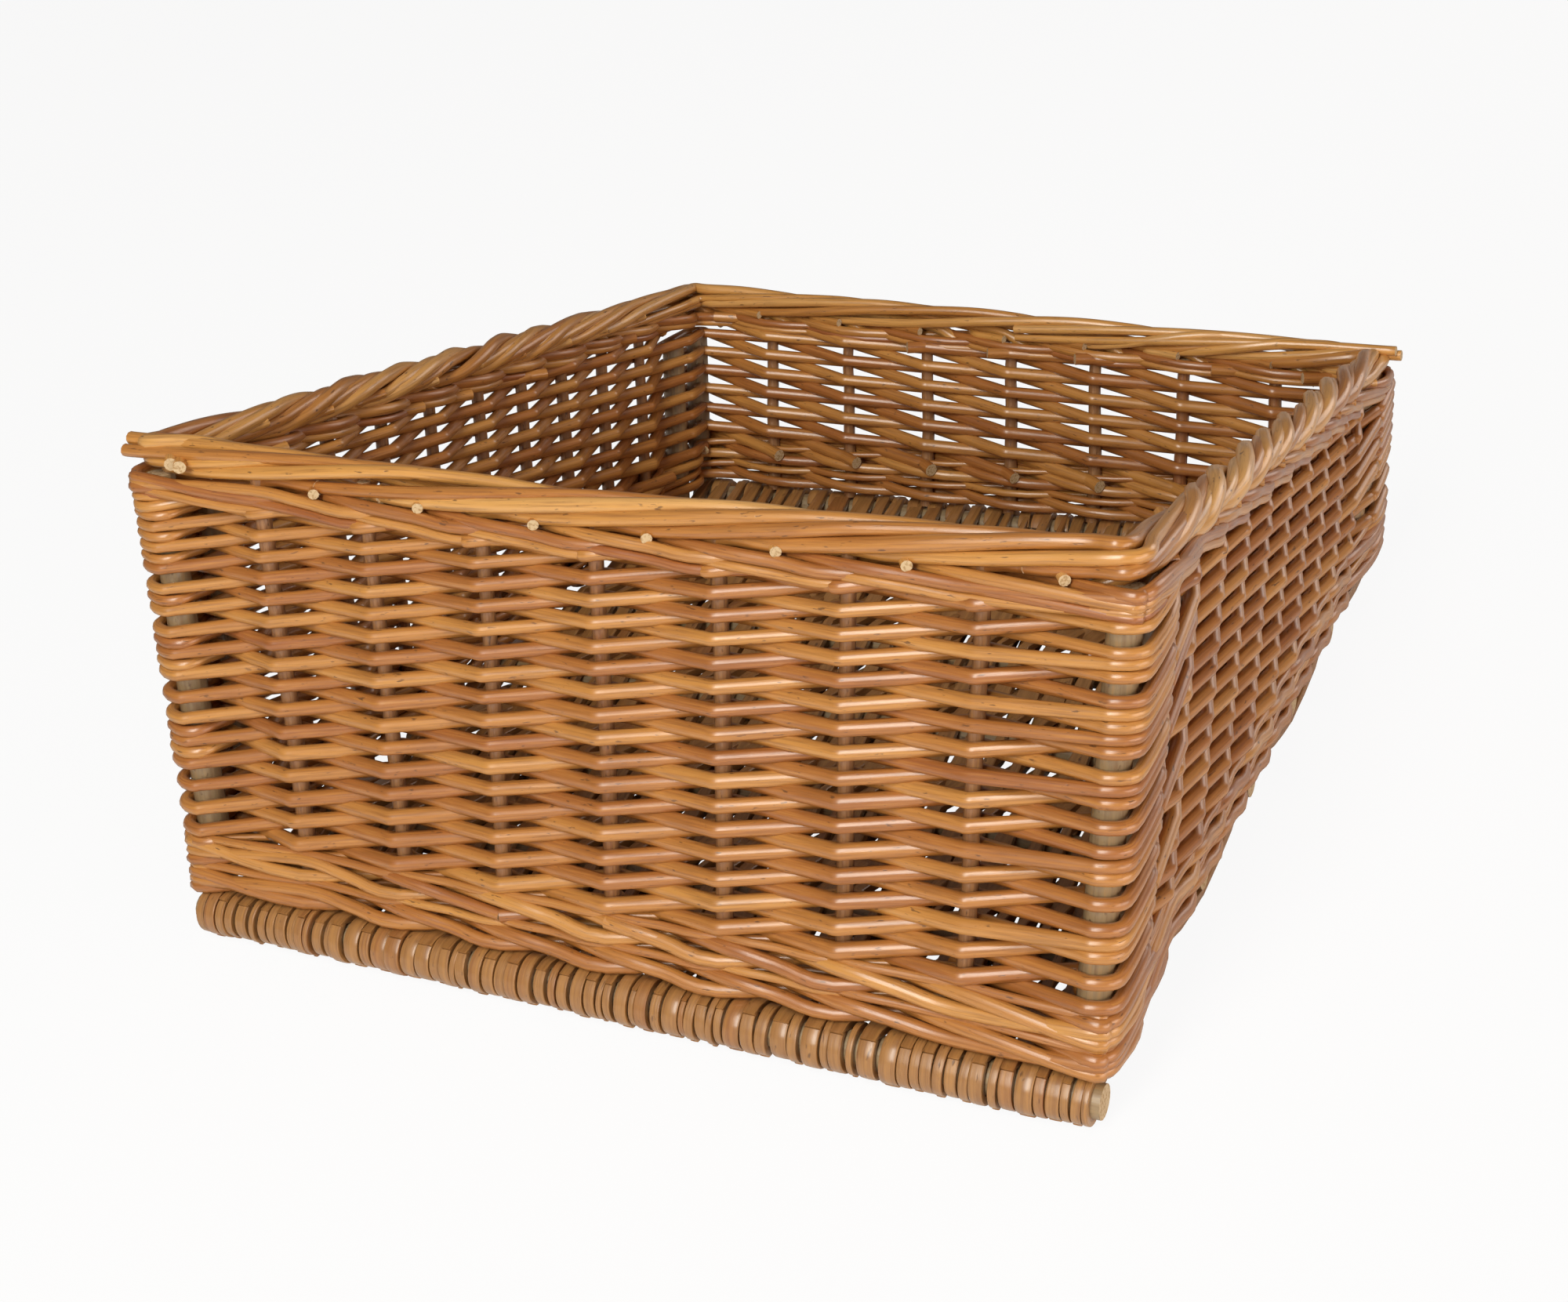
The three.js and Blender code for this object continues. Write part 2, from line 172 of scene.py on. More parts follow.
class Bench:
    """Adds nodes to one node tree."""

    def __init__(self, tree):
        self.tree = tree

    def add(self, kind, settings=None, sockets=None, out=0):
        """A node with its settings made first, then its socket values or links."""
        node = self.tree.nodes.new(kind)
        for name, value in (settings or {}).items():
            if name == "stops":
                self._stops(node.color_ramp, value)
            else:
                setattr(node, name, value)
        self.feed(node, sockets or {})
        return Term(self, node.outputs[out]) if node.outputs else None

    def feed(self, node, sockets):
        """Sets or links the sockets of a node."""
        for key, value in sockets.items():
            if isinstance(value, Term):
                self.tree.links.new(value.socket, node.inputs[key])
            else:
                node.inputs[key].default_value = value

    @staticmethod
    def _stops(ramp, stops):
        while len(ramp.elements) < len(stops):
            ramp.elements.new(0.5)
        for element, (place, shade) in zip(ramp.elements, stops):
            element.position = place
            element.color = (*shade, 1.0)

    def attribute(self, name, out="Fac"):
        """A value stored on the piece's mesh."""
        return self.add("ShaderNodeAttribute", {"attribute_name": name}, out=out)

    def blend(self, factor, first, second):
        """Two colours mixed."""
        sockets = {0: factor, 6: self._rgba(first), 7: self._rgba(second)}
        return self.add("ShaderNodeMix", {"data_type": "RGBA"}, sockets, 2)

    @staticmethod
    def _rgba(shade):
        return shade if isinstance(shade, Term) else (*shade, 1.0)

    def smooth(self, value, low, high):
        """0 at low, 1 at high, eased between."""
        return self.add(
            "ShaderNodeMapRange",
            {"interpolation_type": "SMOOTHSTEP"},
            {"Value": value, "From Min": low, "From Max": high},
        )

    def drawn(self, ring, along, stretch):
        """A place on a rod's skin, with a pattern's length set by the stretch."""
        down = self.add("ShaderNodeCombineXYZ", None, {2: along * stretch})
        return self.add("ShaderNodeVectorMath", {"operation": "ADD"}, {0: ring, 1: down})

    def noise(self, vector, shift, scale, detail=2.0, roughness=0.5):
        """Noise on a vector, with a shift that sets one rod apart from the next."""
        return self.add(
            "ShaderNodeTexNoise",
            {"noise_dimensions": "4D"},
            {
                "Vector": vector,
                "W": shift,
                "Scale": scale,
                "Detail": detail,
                "Roughness": roughness,
            },
        )


class Rod:
    """One willow rod: its middle line, its radius at each point, its shade and how wide it spreads."""

    def __init__(self, points, radii, tint, spread=1.0):
        self.points = np.array(points, float)
        self.radii = np.broadcast_to(np.array(radii, float), (len(points),))
        self.tint = tint
        self.spread = spread


class Basket:
    """The middle surface of the four walls, read round the ring of uprights.

    The ring counts corners and stakes counter-clockwise from the left end of the tall wall.
    """

    OUTWARD = (Vector((0, -1, 0)), Vector((1, 0, 0)), Vector((0, 1, 0)), Vector((-1, 0, 0)))
    CORNER_ROUND = 0.2
    SIDE_POST = 0.36

    def __init__(self, sizes):
        self.sizes = sizes
        half_x = sizes.base_width / 2 - sizes.corner_inset
        half_y = sizes.base_depth / 2 - sizes.corner_inset
        tall_x = half_x + sizes.tall_flare
        tall_y = sizes.tall_lean - half_y
        low_y = half_y + sizes.low_lean
        self.feet = [
            Vector((-half_x, -half_y, 0)),
            Vector((half_x, -half_y, 0)),
            Vector((half_x, half_y, 0)),
            Vector((-half_x, half_y, 0)),
        ]
        self.rims = [
            Vector((-tall_x, tall_y, sizes.tall_height)),
            Vector((tall_x, tall_y, sizes.tall_height)),
            Vector((half_x, low_y, sizes.low_height)),
            Vector((-half_x, low_y, sizes.low_height + sizes.back_left_rise)),
        ]
        self.firsts = [sum(WALL_STAKES[:wall]) + wall for wall in range(len(WALL_STAKES))]
        self.count = sum(WALL_STAKES) + len(WALL_STAKES)

    def is_corner(self, upright):
        return upright % self.count in self.firsts

    def is_back(self, upright):
        """Whether an upright is one of the two corners of the low wall."""
        return upright % self.count in self.firsts[2:]

    def is_side(self, u):
        """Whether a place on the ring is on one of the two side walls."""
        wall, _ = self.place(u)
        return wall % 2 == 1

    def place(self, u):
        """The wall that a place on the ring is on, and the share of that wall's run."""
        u = u % self.count
        wall = max(i for i, first in enumerate(self.firsts) if u >= first)
        step = u - self.firsts[wall]
        intervals = WALL_STAKES[wall] + 1
        if wall % 2 == 0:
            return wall, step / intervals
        first = self.sizes.side_stake_inset / (self.feet[2].y - self.feet[1].y)
        if step <= 1:
            return wall, first * step
        if step >= intervals - 1:
            return wall, 1 - first * (intervals - step)
        return wall, first + (1 - 2 * first) * (step - 1) / (intervals - 2)

    def rim_height(self, u):
        return self.rim(u).z

    def lowness(self, u):
        """0 where the rim is as high as the tall wall's, 1 where it is as low as the low wall's."""
        sizes = self.sizes
        return (sizes.tall_height - self.rim_height(u)) / (sizes.tall_height - sizes.low_height)

    def rim(self, u):
        """The top of the border at a place on the ring. The tall rim sags in its middle."""
        wall, share = self.place(u)
        rim = self.rims[wall].lerp(self.rims[(wall + 1) % 4], share)
        if wall == 0:
            rim.z -= self.sizes.tall_sag * 4 * share * (1 - share)
        return rim

    def on_wall(self, u, height):
        """The middle of the wall at a height over the floor."""
        wall, share = self.place(u)
        foot = self.feet[wall].lerp(self.feet[(wall + 1) % 4], share)
        rim = self.rim(u)
        return foot.lerp(rim, height / rim.z)

    def at(self, u, height, out):
        """A point off the wall's middle, with the corners rounded."""
        near = min(self.firsts + [self.count], key=lambda first: abs(u % self.count - first))
        gap = u % self.count - near
        if abs(gap) >= self.CORNER_ROUND:
            return self.beside(u, height, out)
        share = (gap / self.CORNER_ROUND + 1) / 2
        start = self.on_wall(near - self.CORNER_ROUND, height)
        middle = self.on_wall(near, height)
        end = self.on_wall(near + self.CORNER_ROUND, height)
        bend = start.lerp(middle, share).lerp(middle.lerp(end, share), share)
        before, _ = self.place(near - self.CORNER_ROUND)
        after, _ = self.place(near + self.CORNER_ROUND)
        outward = self.OUTWARD[before].lerp(self.OUTWARD[after], share).normalized()
        return bend + outward * out

    def beside(self, u, height, out):
        """A point off the wall's middle, with the corners left sharp."""
        wall, _ = self.place(u)
        return self.on_wall(u, height) + self.OUTWARD[wall] * out

    def turn(self, corner, height, before, after):
        """A point off a corner's middle, by how far it stands out of each of its two walls."""
        first, _ = self.place(corner - 0.5)
        second, _ = self.place(corner)
        middle = self.on_wall(corner, height)
        return middle + self.OUTWARD[first] * before + self.OUTWARD[second] * after

    def side_post(self, corner):
        """The place on the ring of the post that stands beside a corner, on the side wall."""
        return corner + (self.SIDE_POST if self.is_side(corner) else -self.SIDE_POST)


class Unevenness:
    """Seeded hand-made variation."""

    CARRY = 0.6

    def __init__(self, seed):
        self.random = random.Random(seed)

    def about(self, middle, spread):
        return middle + self.random.uniform(-spread, spread)

    def tint(self, low=0.0, reach=1.0):
        """A rod's shade, from low up to low and the reach."""
        return low + reach * self.random.random()

    def wander(self, count, spread):
        """A slow drift of count values within about the spread."""
        drift = 0.0
        values = []
        for _ in range(count):
            drift = self.CARRY * drift + self.about(0.0, spread)
            values.append(drift)
        return values


def tapered(radius, butt, tip, count):
    """Radii from the thick end of a rod to its thin end, as shares of a radius."""
    return np.linspace(radius * butt, radius * tip, count)


def smooth_line(points, steps):
    """A Catmull-Rom line through the points, with the same number of steps between every two."""
    line = np.array(points, float)
    padded = np.concatenate([2 * line[:1] - line[1:2], line, 2 * line[-1:] - line[-2:-1]])
    before, start, end, after = padded[:-3], padded[1:-2], padded[2:-1], padded[3:]
    shares = (np.arange(steps) / steps)[None, :, None]
    before, start, end, after = (part[:, None, :] for part in (before, start, end, after))
    bend = (
        2 * start
        + (end - before) * shares
        + (2 * before - 5 * start + 4 * end - after) * shares**2
        + (3 * start - before - 3 * end + after) * shares**3
    ) / 2
    return np.concatenate([bend.reshape(-1, 3), line[-1:]])


# Marks on the willow: how they lie along a rod, and their scale and strength
ROD_SHIFT = 97.0
CLOUD_SHIFT = 11.0
SPECK_SHIFT = 23.0
GRAIN_STRETCH = 14.0
SPECK_STRETCH = 90.0
STREAK_SCALE = 3.2
CLOUD_SCALE = 0.8
SPECK_SCALE = 2.2
TINT_SHARE = 0.8
CLOUD_SHARE = 0.5
SHADE_DROP = 0.15
DARK_STREAK_RANGE = (0.42, 0.72)
DARK_STREAK = 0.42
DARK_STREAK_SHADE = 0.45
PALE_STREAK_RANGE = (0.50, 0.25)
PALE_STREAK = 0.35
SCAR_RANGE = (0.63, 0.73)
SCAR_STAIN = 0.75
SCAR_SINK = 0.4
STREAK_ROUGHNESS = 0.22
BUMP_STRENGTH = 0.35
BUMP_DISTANCE = 0.0006
COAT_WEIGHT = 0.85
COAT_ROUGHNESS = 0.26
PITH_SCALE = 900.0
PITH_RANGE = (0.45, 0.7)
CUT_ROUGHNESS = 0.8


def new_finish(name):
    """A new material, with its bench and its surface shader."""
    material = bpy.data.materials.new(name)
    material.use_nodes = True
    return material, Bench(material.node_tree), material.node_tree.nodes["Principled BSDF"]


def willow_material(name, colours, shades, roughness):
    """Peeled willow: streaks along the rod, specks, leaf scars and a worn gloss."""
    _, bench, shader = new_finish(name)
    tint = bench.attribute("tint")
    along = bench.attribute("along")
    ring = bench.attribute("ring", "Vector")
    shift = tint * ROD_SHIFT
    grain = bench.drawn(ring, along, GRAIN_STRETCH)
    fibre = bench.drawn(ring, along, SPECK_STRETCH)
    streaks = bench.noise(grain, shift, STREAK_SCALE, detail=3.0, roughness=0.6)
    cloud = bench.noise(grain, shift + CLOUD_SHIFT, CLOUD_SCALE)
    specks = bench.noise(fibre, shift + SPECK_SHIFT, SPECK_SCALE, roughness=0.55)
    depth = tint * TINT_SHARE + cloud * CLOUD_SHARE - SHADE_DROP
    shade = bench.add("ShaderNodeValToRGB", {"stops": shades}, {0: depth})
    streak_shade = tuple(c * DARK_STREAK_SHADE for c in colours.russet)
    dark = bench.smooth(streaks, *DARK_STREAK_RANGE) * DARK_STREAK
    pale = bench.smooth(streaks, *PALE_STREAK_RANGE) * PALE_STREAK
    scar = bench.smooth(specks, *SCAR_RANGE)
    streaked = bench.blend(pale, bench.blend(dark, shade, streak_shade), colours.golden)
    relief = {
        "Strength": BUMP_STRENGTH,
        "Distance": BUMP_DISTANCE,
        "Height": streaks - scar * SCAR_SINK,
    }
    surface = {
        "Base Color": bench.blend(scar * SCAR_STAIN, streaked, colours.stain),
        "Roughness": roughness + streaks * STREAK_ROUGHNESS,
        "Normal": bench.add("ShaderNodeBump", None, relief),
        "Coat Weight": COAT_WEIGHT,
        "Coat Roughness": COAT_ROUGHNESS,
    }
    bench.feed(shader, surface)


def cut_material(name, colours):
    """The pale end grain of a trimmed rod."""
    _, bench, shader = new_finish(name)
    place = bench.add("ShaderNodeTexCoord", out="Object")
    pattern = {"Vector": place, "Scale": PITH_SCALE, "Detail": 3.0}
    grain = bench.add("ShaderNodeTexNoise", None, pattern)
    shade = bench.blend(bench.smooth(grain, *PITH_RANGE), colours.cut, colours.pith)
    bench.feed(shader, {"Base Color": shade, "Roughness": CUT_ROUGHNESS})


def make_finishes(colours):
    """Makes every willow finish of the basket, once: its roughness, and its shades by tint."""
    if "cut_willow" in bpy.data.materials:
        return
    russet, buff, golden = colours.russet, colours.buff, colours.golden
    weaver, straw_and_painted_light = colours.weaver, colours.straw_and_painted_light
    willows = {
        "weaving_willow": (0.27, [(0.08, russet), (0.5, buff), (0.95, golden)]),
        "base_willow": (0.30, [(0.05, russet), (0.4, weaver), (0.8, weaver), (1.0, golden)]),
        # The rolled border climbs to straw: partly its own paler tone, partly painted light for the
        # light from above on its top.
        "rolled_willow": (0.21, [(0.04, russet), (0.30, buff), (0.60, golden), (0.92, straw_and_painted_light)]),
        # The stake shade here is partly the stakes' own colour and partly painted shade for the gaps
        # between the rods.
        "upright_willow": (0.42, [(0.0, russet), (0.3, colours.stake)]),
        "grey_willow": (0.45, [(0.0, colours.bark_shade), (0.3, colours.bark)]),
    }
    for name, (roughness, shades) in willows.items():
        willow_material(name, colours, shades, roughness)
    cut_material("cut_willow", colours)


# Sweeping rods along their middle lines
CREASE_ANGLE = math.radians(30)
SIDE_FACE_CORNERS = 4


def signed_power(bench, value, power):
    """A value's size raised to a power, with its sign kept."""
    size = bench.add("ShaderNodeMath", {"operation": "ABSOLUTE"}, {0: value})
    sign = bench.add("ShaderNodeMath", {"operation": "SIGN"}, {0: value})
    return size**power * sign


def sweep_tree(flat):
    """Turns middle lines with a thickness at each point into rods with cut ends.

    A flat tree keeps the wide way of every section along the base's width.
    """
    name = "band_sweep" if flat else "rod_sweep"
    if name in bpy.data.node_groups:
        return bpy.data.node_groups[name]
    tree = bpy.data.node_groups.new(name, "GeometryNodeTree")
    inputs = {
        "Lines": "NodeSocketGeometry",
        "Sides": "NodeSocketInt",
        "Steps": "NodeSocketInt",
        "Roundness": "NodeSocketFloat",
        "Rod finish": "NodeSocketMaterial",
        "Cut finish": "NodeSocketMaterial",
    }
    for label, kind in inputs.items():
        tree.interface.new_socket(label, in_out="INPUT", socket_type=kind)
    tree.interface.new_socket("Rods", in_out="OUTPUT", socket_type="NodeSocketGeometry")
    bench = Bench(tree)
    entry = tree.nodes.new("NodeGroupInput")
    lines, sides, steps, roundness, finish, cut = [Term(bench, entry.outputs[label]) for label in inputs]

    def stored(label):
        return bench.add("GeometryNodeInputNamedAttribute", {"data_type": "FLOAT"}, {"Name": label})

    def store(geometry, label, kind, value):
        return bench.add(
            "GeometryNodeStoreNamedAttribute",
            {"data_type": kind, "domain": "POINT"},
            {"Geometry": geometry, "Name": label, "Value": value},
        )

    curve = bench.add("GeometryNodeMeshToCurve", None, {"Mesh": lines})
    curve = bench.add("GeometryNodeCurveSplineType", {"spline_type": "CATMULL_ROM"}, {"Curve": curve})
    curve = bench.add("GeometryNodeSetSplineResolution", None, {0: curve, "Resolution": steps})
    if flat:
        sideways = {0: curve, "Normal": (1.0, 0.0, 0.0)}
        curve = bench.add("GeometryNodeSetCurveNormal", {"mode": "FREE"}, sideways)
    run = bench.add("GeometryNodeSplineParameter", out="Length")
    curve = store(curve, "along", "FLOAT", run)
    section = bench.add("GeometryNodeCurvePrimitiveCircle", None, {"Resolution": sides, "Radius": 1.0})
    section = store(section, "ring", "FLOAT_VECTOR", bench.add("GeometryNodeInputPosition"))
    around = bench.add("GeometryNodeInputPosition")
    across = [bench.add("ShaderNodeSeparateXYZ", None, {0: around}, axis) for axis in (0, 1)]
    squared = [signed_power(bench, value, roundness) for value in across]
    corner = bench.add("ShaderNodeCombineXYZ", None, {0: squared[0], 1: squared[1]})
    section = bench.add("GeometryNodeSetPosition", None, {"Geometry": section, "Position": corner})
    rods = bench.add(
        "GeometryNodeCurveToMesh",
        None,
        {"Curve": curve, "Profile Curve": section, "Scale": stored("thick"), "Fill Caps": True},
    )
    place = bench.add("GeometryNodeInputPosition")
    lane = bench.add("ShaderNodeCombineXYZ", None, {0: stored("lane")})
    spread = bench.add("ShaderNodeCombineXYZ", None, {0: stored("spread")})
    off = bench.add("ShaderNodeVectorMath", {"operation": "SUBTRACT"}, {0: place, 1: lane})
    widened = bench.add("ShaderNodeVectorMath", {"operation": "MULTIPLY"}, {0: off, 1: spread})
    rods = bench.add("GeometryNodeSetPosition", None, {"Geometry": rods, "Offset": widened})
    corners = bench.add("GeometryNodeInputMeshFaceNeighbors", out="Vertex Count")
    is_end = bench.add(
        "FunctionNodeCompare",
        {"data_type": "INT", "operation": "GREATER_THAN"},
        {2: corners, 3: SIDE_FACE_CORNERS},
    )
    is_side = bench.add("FunctionNodeBooleanMath", {"operation": "NOT"}, {0: is_end})
    rods = bench.add("GeometryNodeSetShadeSmooth", None, {"Geometry": rods, "Shade Smooth": is_side})
    if flat:
        bend = bench.add("GeometryNodeInputMeshEdgeAngle")
        soft = bench.add("FunctionNodeCompare", {"operation": "LESS_THAN"}, {0: bend, 1: CREASE_ANGLE})
        rods = bench.add(
            "GeometryNodeSetShadeSmooth", {"domain": "EDGE"}, {"Geometry": rods, "Shade Smooth": soft}
        )
    rods = bench.add("GeometryNodeRealizeInstances", None, {"Geometry": rods})
    rods = bench.add("GeometryNodeSetMaterial", None, {"Geometry": rods, "Material": finish})
    rods = bench.add(
        "GeometryNodeSetMaterial", None, {"Geometry": rods, "Selection": is_end, "Material": cut}
    )
    bench.add("NodeGroupOutput", None, {0: rods})
    return tree


def sweep(name, rods, finish, nodes, sides=9, steps=4, roundness=1.0, flat=False):
    """Sweeps the rods, makes them one plain mesh and hands the piece to the frame."""
    points = np.concatenate([rod.points for rod in rods])
    edges = []
    start = 0
    for rod in rods:
        edges += [(start + i, start + i + 1) for i in range(len(rod.points) - 1)]
        start += len(rod.points)
    lines = bpy.data.meshes.new(name + "_lines")
    lines.from_pydata(points.tolist(), edges, [])
    values = {
        "thick": np.concatenate([rod.radii for rod in rods]),
        "tint": np.concatenate([np.full(len(rod.points), rod.tint) for rod in rods]),
        "lane": points[:, 0],
        "spread": np.concatenate([np.full(len(rod.points), rod.spread - 1) for rod in rods]),
    }
    for key, data in values.items():
        lines.attributes.new(key, "FLOAT", "POINT").data.foreach_set("value", data)
    holder = bpy.data.objects.new(name + "_lines", lines)
    bpy.context.scene.collection.objects.link(holder)
    tree = sweep_tree(flat)
    modifier = holder.modifiers.new("sweep", "NODES")
    modifier.node_group = tree
    inputs = {
        "Sides": sides,
        "Steps": steps,
        "Roundness": roundness,
        "Rod finish": bpy.data.materials[finish],
        "Cut finish": bpy.data.materials["cut_willow"],
    }
    for item in tree.interface.items_tree:
        if item.name in inputs:
            modifier[item.identifier] = inputs[item.name]
    graph = bpy.context.evaluated_depsgraph_get()
    mesh = bpy.data.meshes.new_from_object(holder.evaluated_get(graph))
    bpy.data.objects.remove(holder)
    mesh.name = name
    piece = bpy.data.objects.new(name, mesh)
    bpy.context.scene.collection.objects.link(piece)
    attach(piece, "root")
    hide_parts(*nodes)


class BasketPiece:
    """What every weaving operator shares: the sizes, the finishes, the walls and the unevenness."""

    bl_options = {"REGISTER", "UNDO"}

    def execute(self, context):
        self.sizes = context.scene.basket_sizes
        make_finishes(context.scene.basket_colours)
        self.basket = Basket(self.sizes)
        self.hand = Unevenness(f"{self.sizes.seed} {self.bl_idname}")
        self.make()
        return {"FINISHED"}


class BASKET_OT_base_sticks(BasketPiece, bpy.types.Operator):
    """Lay the thick sticks that the base is woven on"""

    bl_idname = "basket.base_sticks"
    bl_label = "Base Sticks"

    FRONT_TRIM = 0.0050
    OTHER_TRIM = 0.0105
    POINTS = 9
    DRIFT = 0.0004

    def make(self):
        rods = []
        front = min(low.y for low, high in STICK_BOXES)
        for low, high in STICK_BOXES:
            middle = (low + high) / 2
            radius = (high.z - low.z) / 2
            trim = self.FRONT_TRIM if low.y == front else self.OTHER_TRIM
            reach = high.x - trim
            drift = self.hand.wander(self.POINTS, self.DRIFT)
            points = [
                (reach * (2 * i / (self.POINTS - 1) - 1), middle.y + drift[i], middle.z)
                for i in range(self.POINTS)
            ]
            rods.append(Rod(points, radius, self.hand.tint()))
        sweep("base_sticks", rods, "grey_willow", STICK_NAMES, sides=16, steps=3)


class BASKET_OT_base_weavers(BasketPiece, bpy.types.Operator):
    """Weave the base over and under the sticks, with each weaver lapped round the outer sticks"""

    bl_idname = "basket.base_weavers"
    bl_label = "Base Weavers"

    THICK = 0.0017
    BEDDED = 0.96
    REACH_SPREAD = 0.0005
    SIDE_TRIM = 0.0105
    LAP_TRIM = 0.0080
    WIDTHS = (0.5, 0.65, 0.8, 0.95, 1.1, 1.4)
    GAPS = (0.0, 0.0, 0.0005, 0.0016)
    SNUG = 0.96
    BETWEEN = 1.7
    BETWEEN_SPREAD = 0.0004
    OVER_STEP = 0.004
    OVER_SPREAD = 0.0003
    SLANT = 0.0003
    SLANT_SPREAD = 0.0005
    BACK_SLANT = 0.0014
    BACK_SLANT_SPREAD = 0.0008
    BACK_WIDE = 1.2
    LAP_TURNS = range(-70, 251, 20)
    WRAP_TURNS = range(0, 241, 20)
    ROUNDNESS = 0.34
    LOW_TINT = 0.2
    TINT_REACH = 0.6

    def make(self):
        sticks = [(low + high) / 2 for low, high in STICK_BOXES]
        sticks.sort(key=lambda middle: middle.y)
        stick_radius = (STICK_BOXES[0][1].z - STICK_BOXES[0][0].z) / 2
        self.reach = stick_radius + self.THICK * self.BEDDED
        rods = []
        lap_edge = BASE_WIDTH / 2 - self.LAP_TRIM
        weave_edge = BASE_WIDTH / 2 - self.SIDE_TRIM
        x = -lap_edge
        side = 1
        while True:
            width = self.sizes.weaver_pitch * self.hand.random.choice(self.WIDTHS)
            if x + width > lap_edge:
                break
            middle = x + width / 2
            if abs(middle) + width / 2 < weave_edge:
                rods.append(self.weaver(middle, width, side, sticks))
            else:
                rods.append(self.lap(middle, width, side, sticks[0], -1))
            x += width + self.hand.random.choice(self.GAPS)
            side = -side
        sweep(
            "base_weavers",
            rods,
            "base_willow",
            ["base_weave"],
            sides=12,
            steps=2,
            roundness=self.ROUNDNESS,
            flat=True,
        )

    def band(self, points, radii, width):
        """A flat weaver of a width along the points."""
        tint = self.hand.tint(self.LOW_TINT, self.TINT_REACH)
        return Rod(points, radii, tint, self.SNUG * width / (2 * self.THICK))

    def round_stick(self, x, slant, stick, outer, side, turns):
        """Points round an outer stick: 0 degrees on the face that the weaver comes in on."""
        points = []
        reach = self.hand.about(self.reach, self.REACH_SPREAD)
        for degrees in turns:
            turn = math.radians(degrees)
            y = stick.y + outer * reach * math.sin(turn)
            z = stick.z + side * reach * math.cos(turn)
            points.append((x + slant * (degrees - 90) / 90, y, z))
        return points

    def lap(self, x, width, side, stick, outer):
        """A short weaver lapped round the end of an outer stick."""
        slant = self.hand.about(self.SLANT, self.SLANT_SPREAD)
        points = self.round_stick(x, slant, stick, outer, side, self.LAP_TURNS)
        return self.band(points, self.THICK, width)

    def weaver(self, x, width, side, sticks):
        """One weaver: round the first stick, over and under the rest, and round the last."""
        slant = self.hand.about(self.SLANT, self.SLANT_SPREAD)
        points = self.round_stick(x, slant, sticks[0], -1, side, reversed(self.WRAP_TURNS))
        radii = [self.THICK] * len(points)
        for i in range(1, len(sticks)):
            gap = (sticks[i - 1] + sticks[i]) / 2
            points.append((self.hand.about(x, self.BETWEEN_SPREAD), gap.y, gap.z))
            radii.append(self.THICK * self.BETWEEN)
            if i < len(sticks) - 1:
                over = side if i % 2 == 0 else -side
                z = sticks[i].z + over * self.reach
                for step in (-self.OVER_STEP, self.OVER_STEP):
                    points.append((self.hand.about(x, self.OVER_SPREAD), sticks[i].y + step, z))
                    radii.append(self.THICK)
        last = side if len(sticks) % 2 else -side
        slant = self.hand.about(self.BACK_SLANT, self.BACK_SLANT_SPREAD)
        end = self.round_stick(x, slant, sticks[-1], 1, last, self.WRAP_TURNS)
        radii += [self.THICK * self.BACK_WIDE] * len(end)
        return self.band(points + end, radii, width)


# Uprights: corner posts and wall stakes, along their CAD rods
UPRIGHT_POINTS = 7
END_SHARE = 0.1


def ends_of(node):
    """The middles of the lower and upper ends of an upright CAD rod."""
    corners = np.array([v.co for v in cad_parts[node].data.vertices])
    low, high = corners[:, 2].min(), corners[:, 2].max()
    edge = (high - low) * END_SHARE
    foot = corners[corners[:, 2] < low + edge].mean(0)
    head = corners[corners[:, 2] > high - edge].mean(0)
    return Vector(foot), Vector(head)


def upright_line(foot, head):
    """Evenly spaced points from an upright's foot to its head."""
    return [foot.lerp(head, i / (UPRIGHT_POINTS - 1)) for i in range(UPRIGHT_POINTS)]


class BASKET_OT_corner_posts(BasketPiece, bpy.types.Operator):
    """Stand the thick corner posts in the base"""

    bl_idname = "basket.corner_posts"
    bl_label = "Corner Posts"

    BOW = 0.0008
    BUTT = 1.03
    TIP = 0.95

    def make(self):
        nodes = [f"{wall}_post_{end}" for wall in WALL_NAMES for end in "ab"]
        rods = [self.post(node) for node in nodes]
        sweep("corner_posts", rods, "grey_willow", nodes, sides=14)

    def post(self, node):
        """One post along its CAD post, bowed a little."""
        radius = self.sizes.post_diameter / 2
        bow = self.hand.about(0.0, self.BOW)
        line = upright_line(*ends_of(node))
        points = [point + Vector((bow, -bow, 0)) * (i % 2) for i, point in enumerate(line)]
        return Rod(points, tapered(radius, self.BUTT, self.TIP, len(points)), self.hand.tint())


class BASKET_OT_stakes(BasketPiece, bpy.types.Operator):
    """Stand the thin wall stakes between base and border"""

    bl_idname = "basket.stakes"
    bl_label = "Wall Stakes"

    RADIUS_SPREAD = 0.0003
    HEAD_REACH = 0.006
    DRIFT = 0.0005
    BUTT = 1.08
    TIP = 0.9

    def make(self):
        nodes = []
        for wall, count in zip(WALL_NAMES, WALL_STAKES):
            nodes += [f"{wall}_stake_{i}" for i in range(1, count + 1)]
        rods = [self.stake(node) for node in nodes]
        sweep("wall_stakes", rods, "upright_willow", nodes, sides=10, steps=3)

    def stake(self, node):
        """One stake along its CAD stake, with its head up inside the border."""
        foot, head = ends_of(node)
        radius = self.hand.about(self.sizes.stake_diameter / 2, self.RADIUS_SPREAD)
        head = head + (head - foot).normalized() * self.HEAD_REACH
        drift = self.hand.wander(UPRIGHT_POINTS, self.DRIFT)
        line = upright_line(foot, head)
        points = [point + Vector((drift[i], drift[i], 0)) for i, point in enumerate(line)]
        return Rod(points, tapered(radius, self.BUTT, self.TIP, len(points)), self.hand.tint())


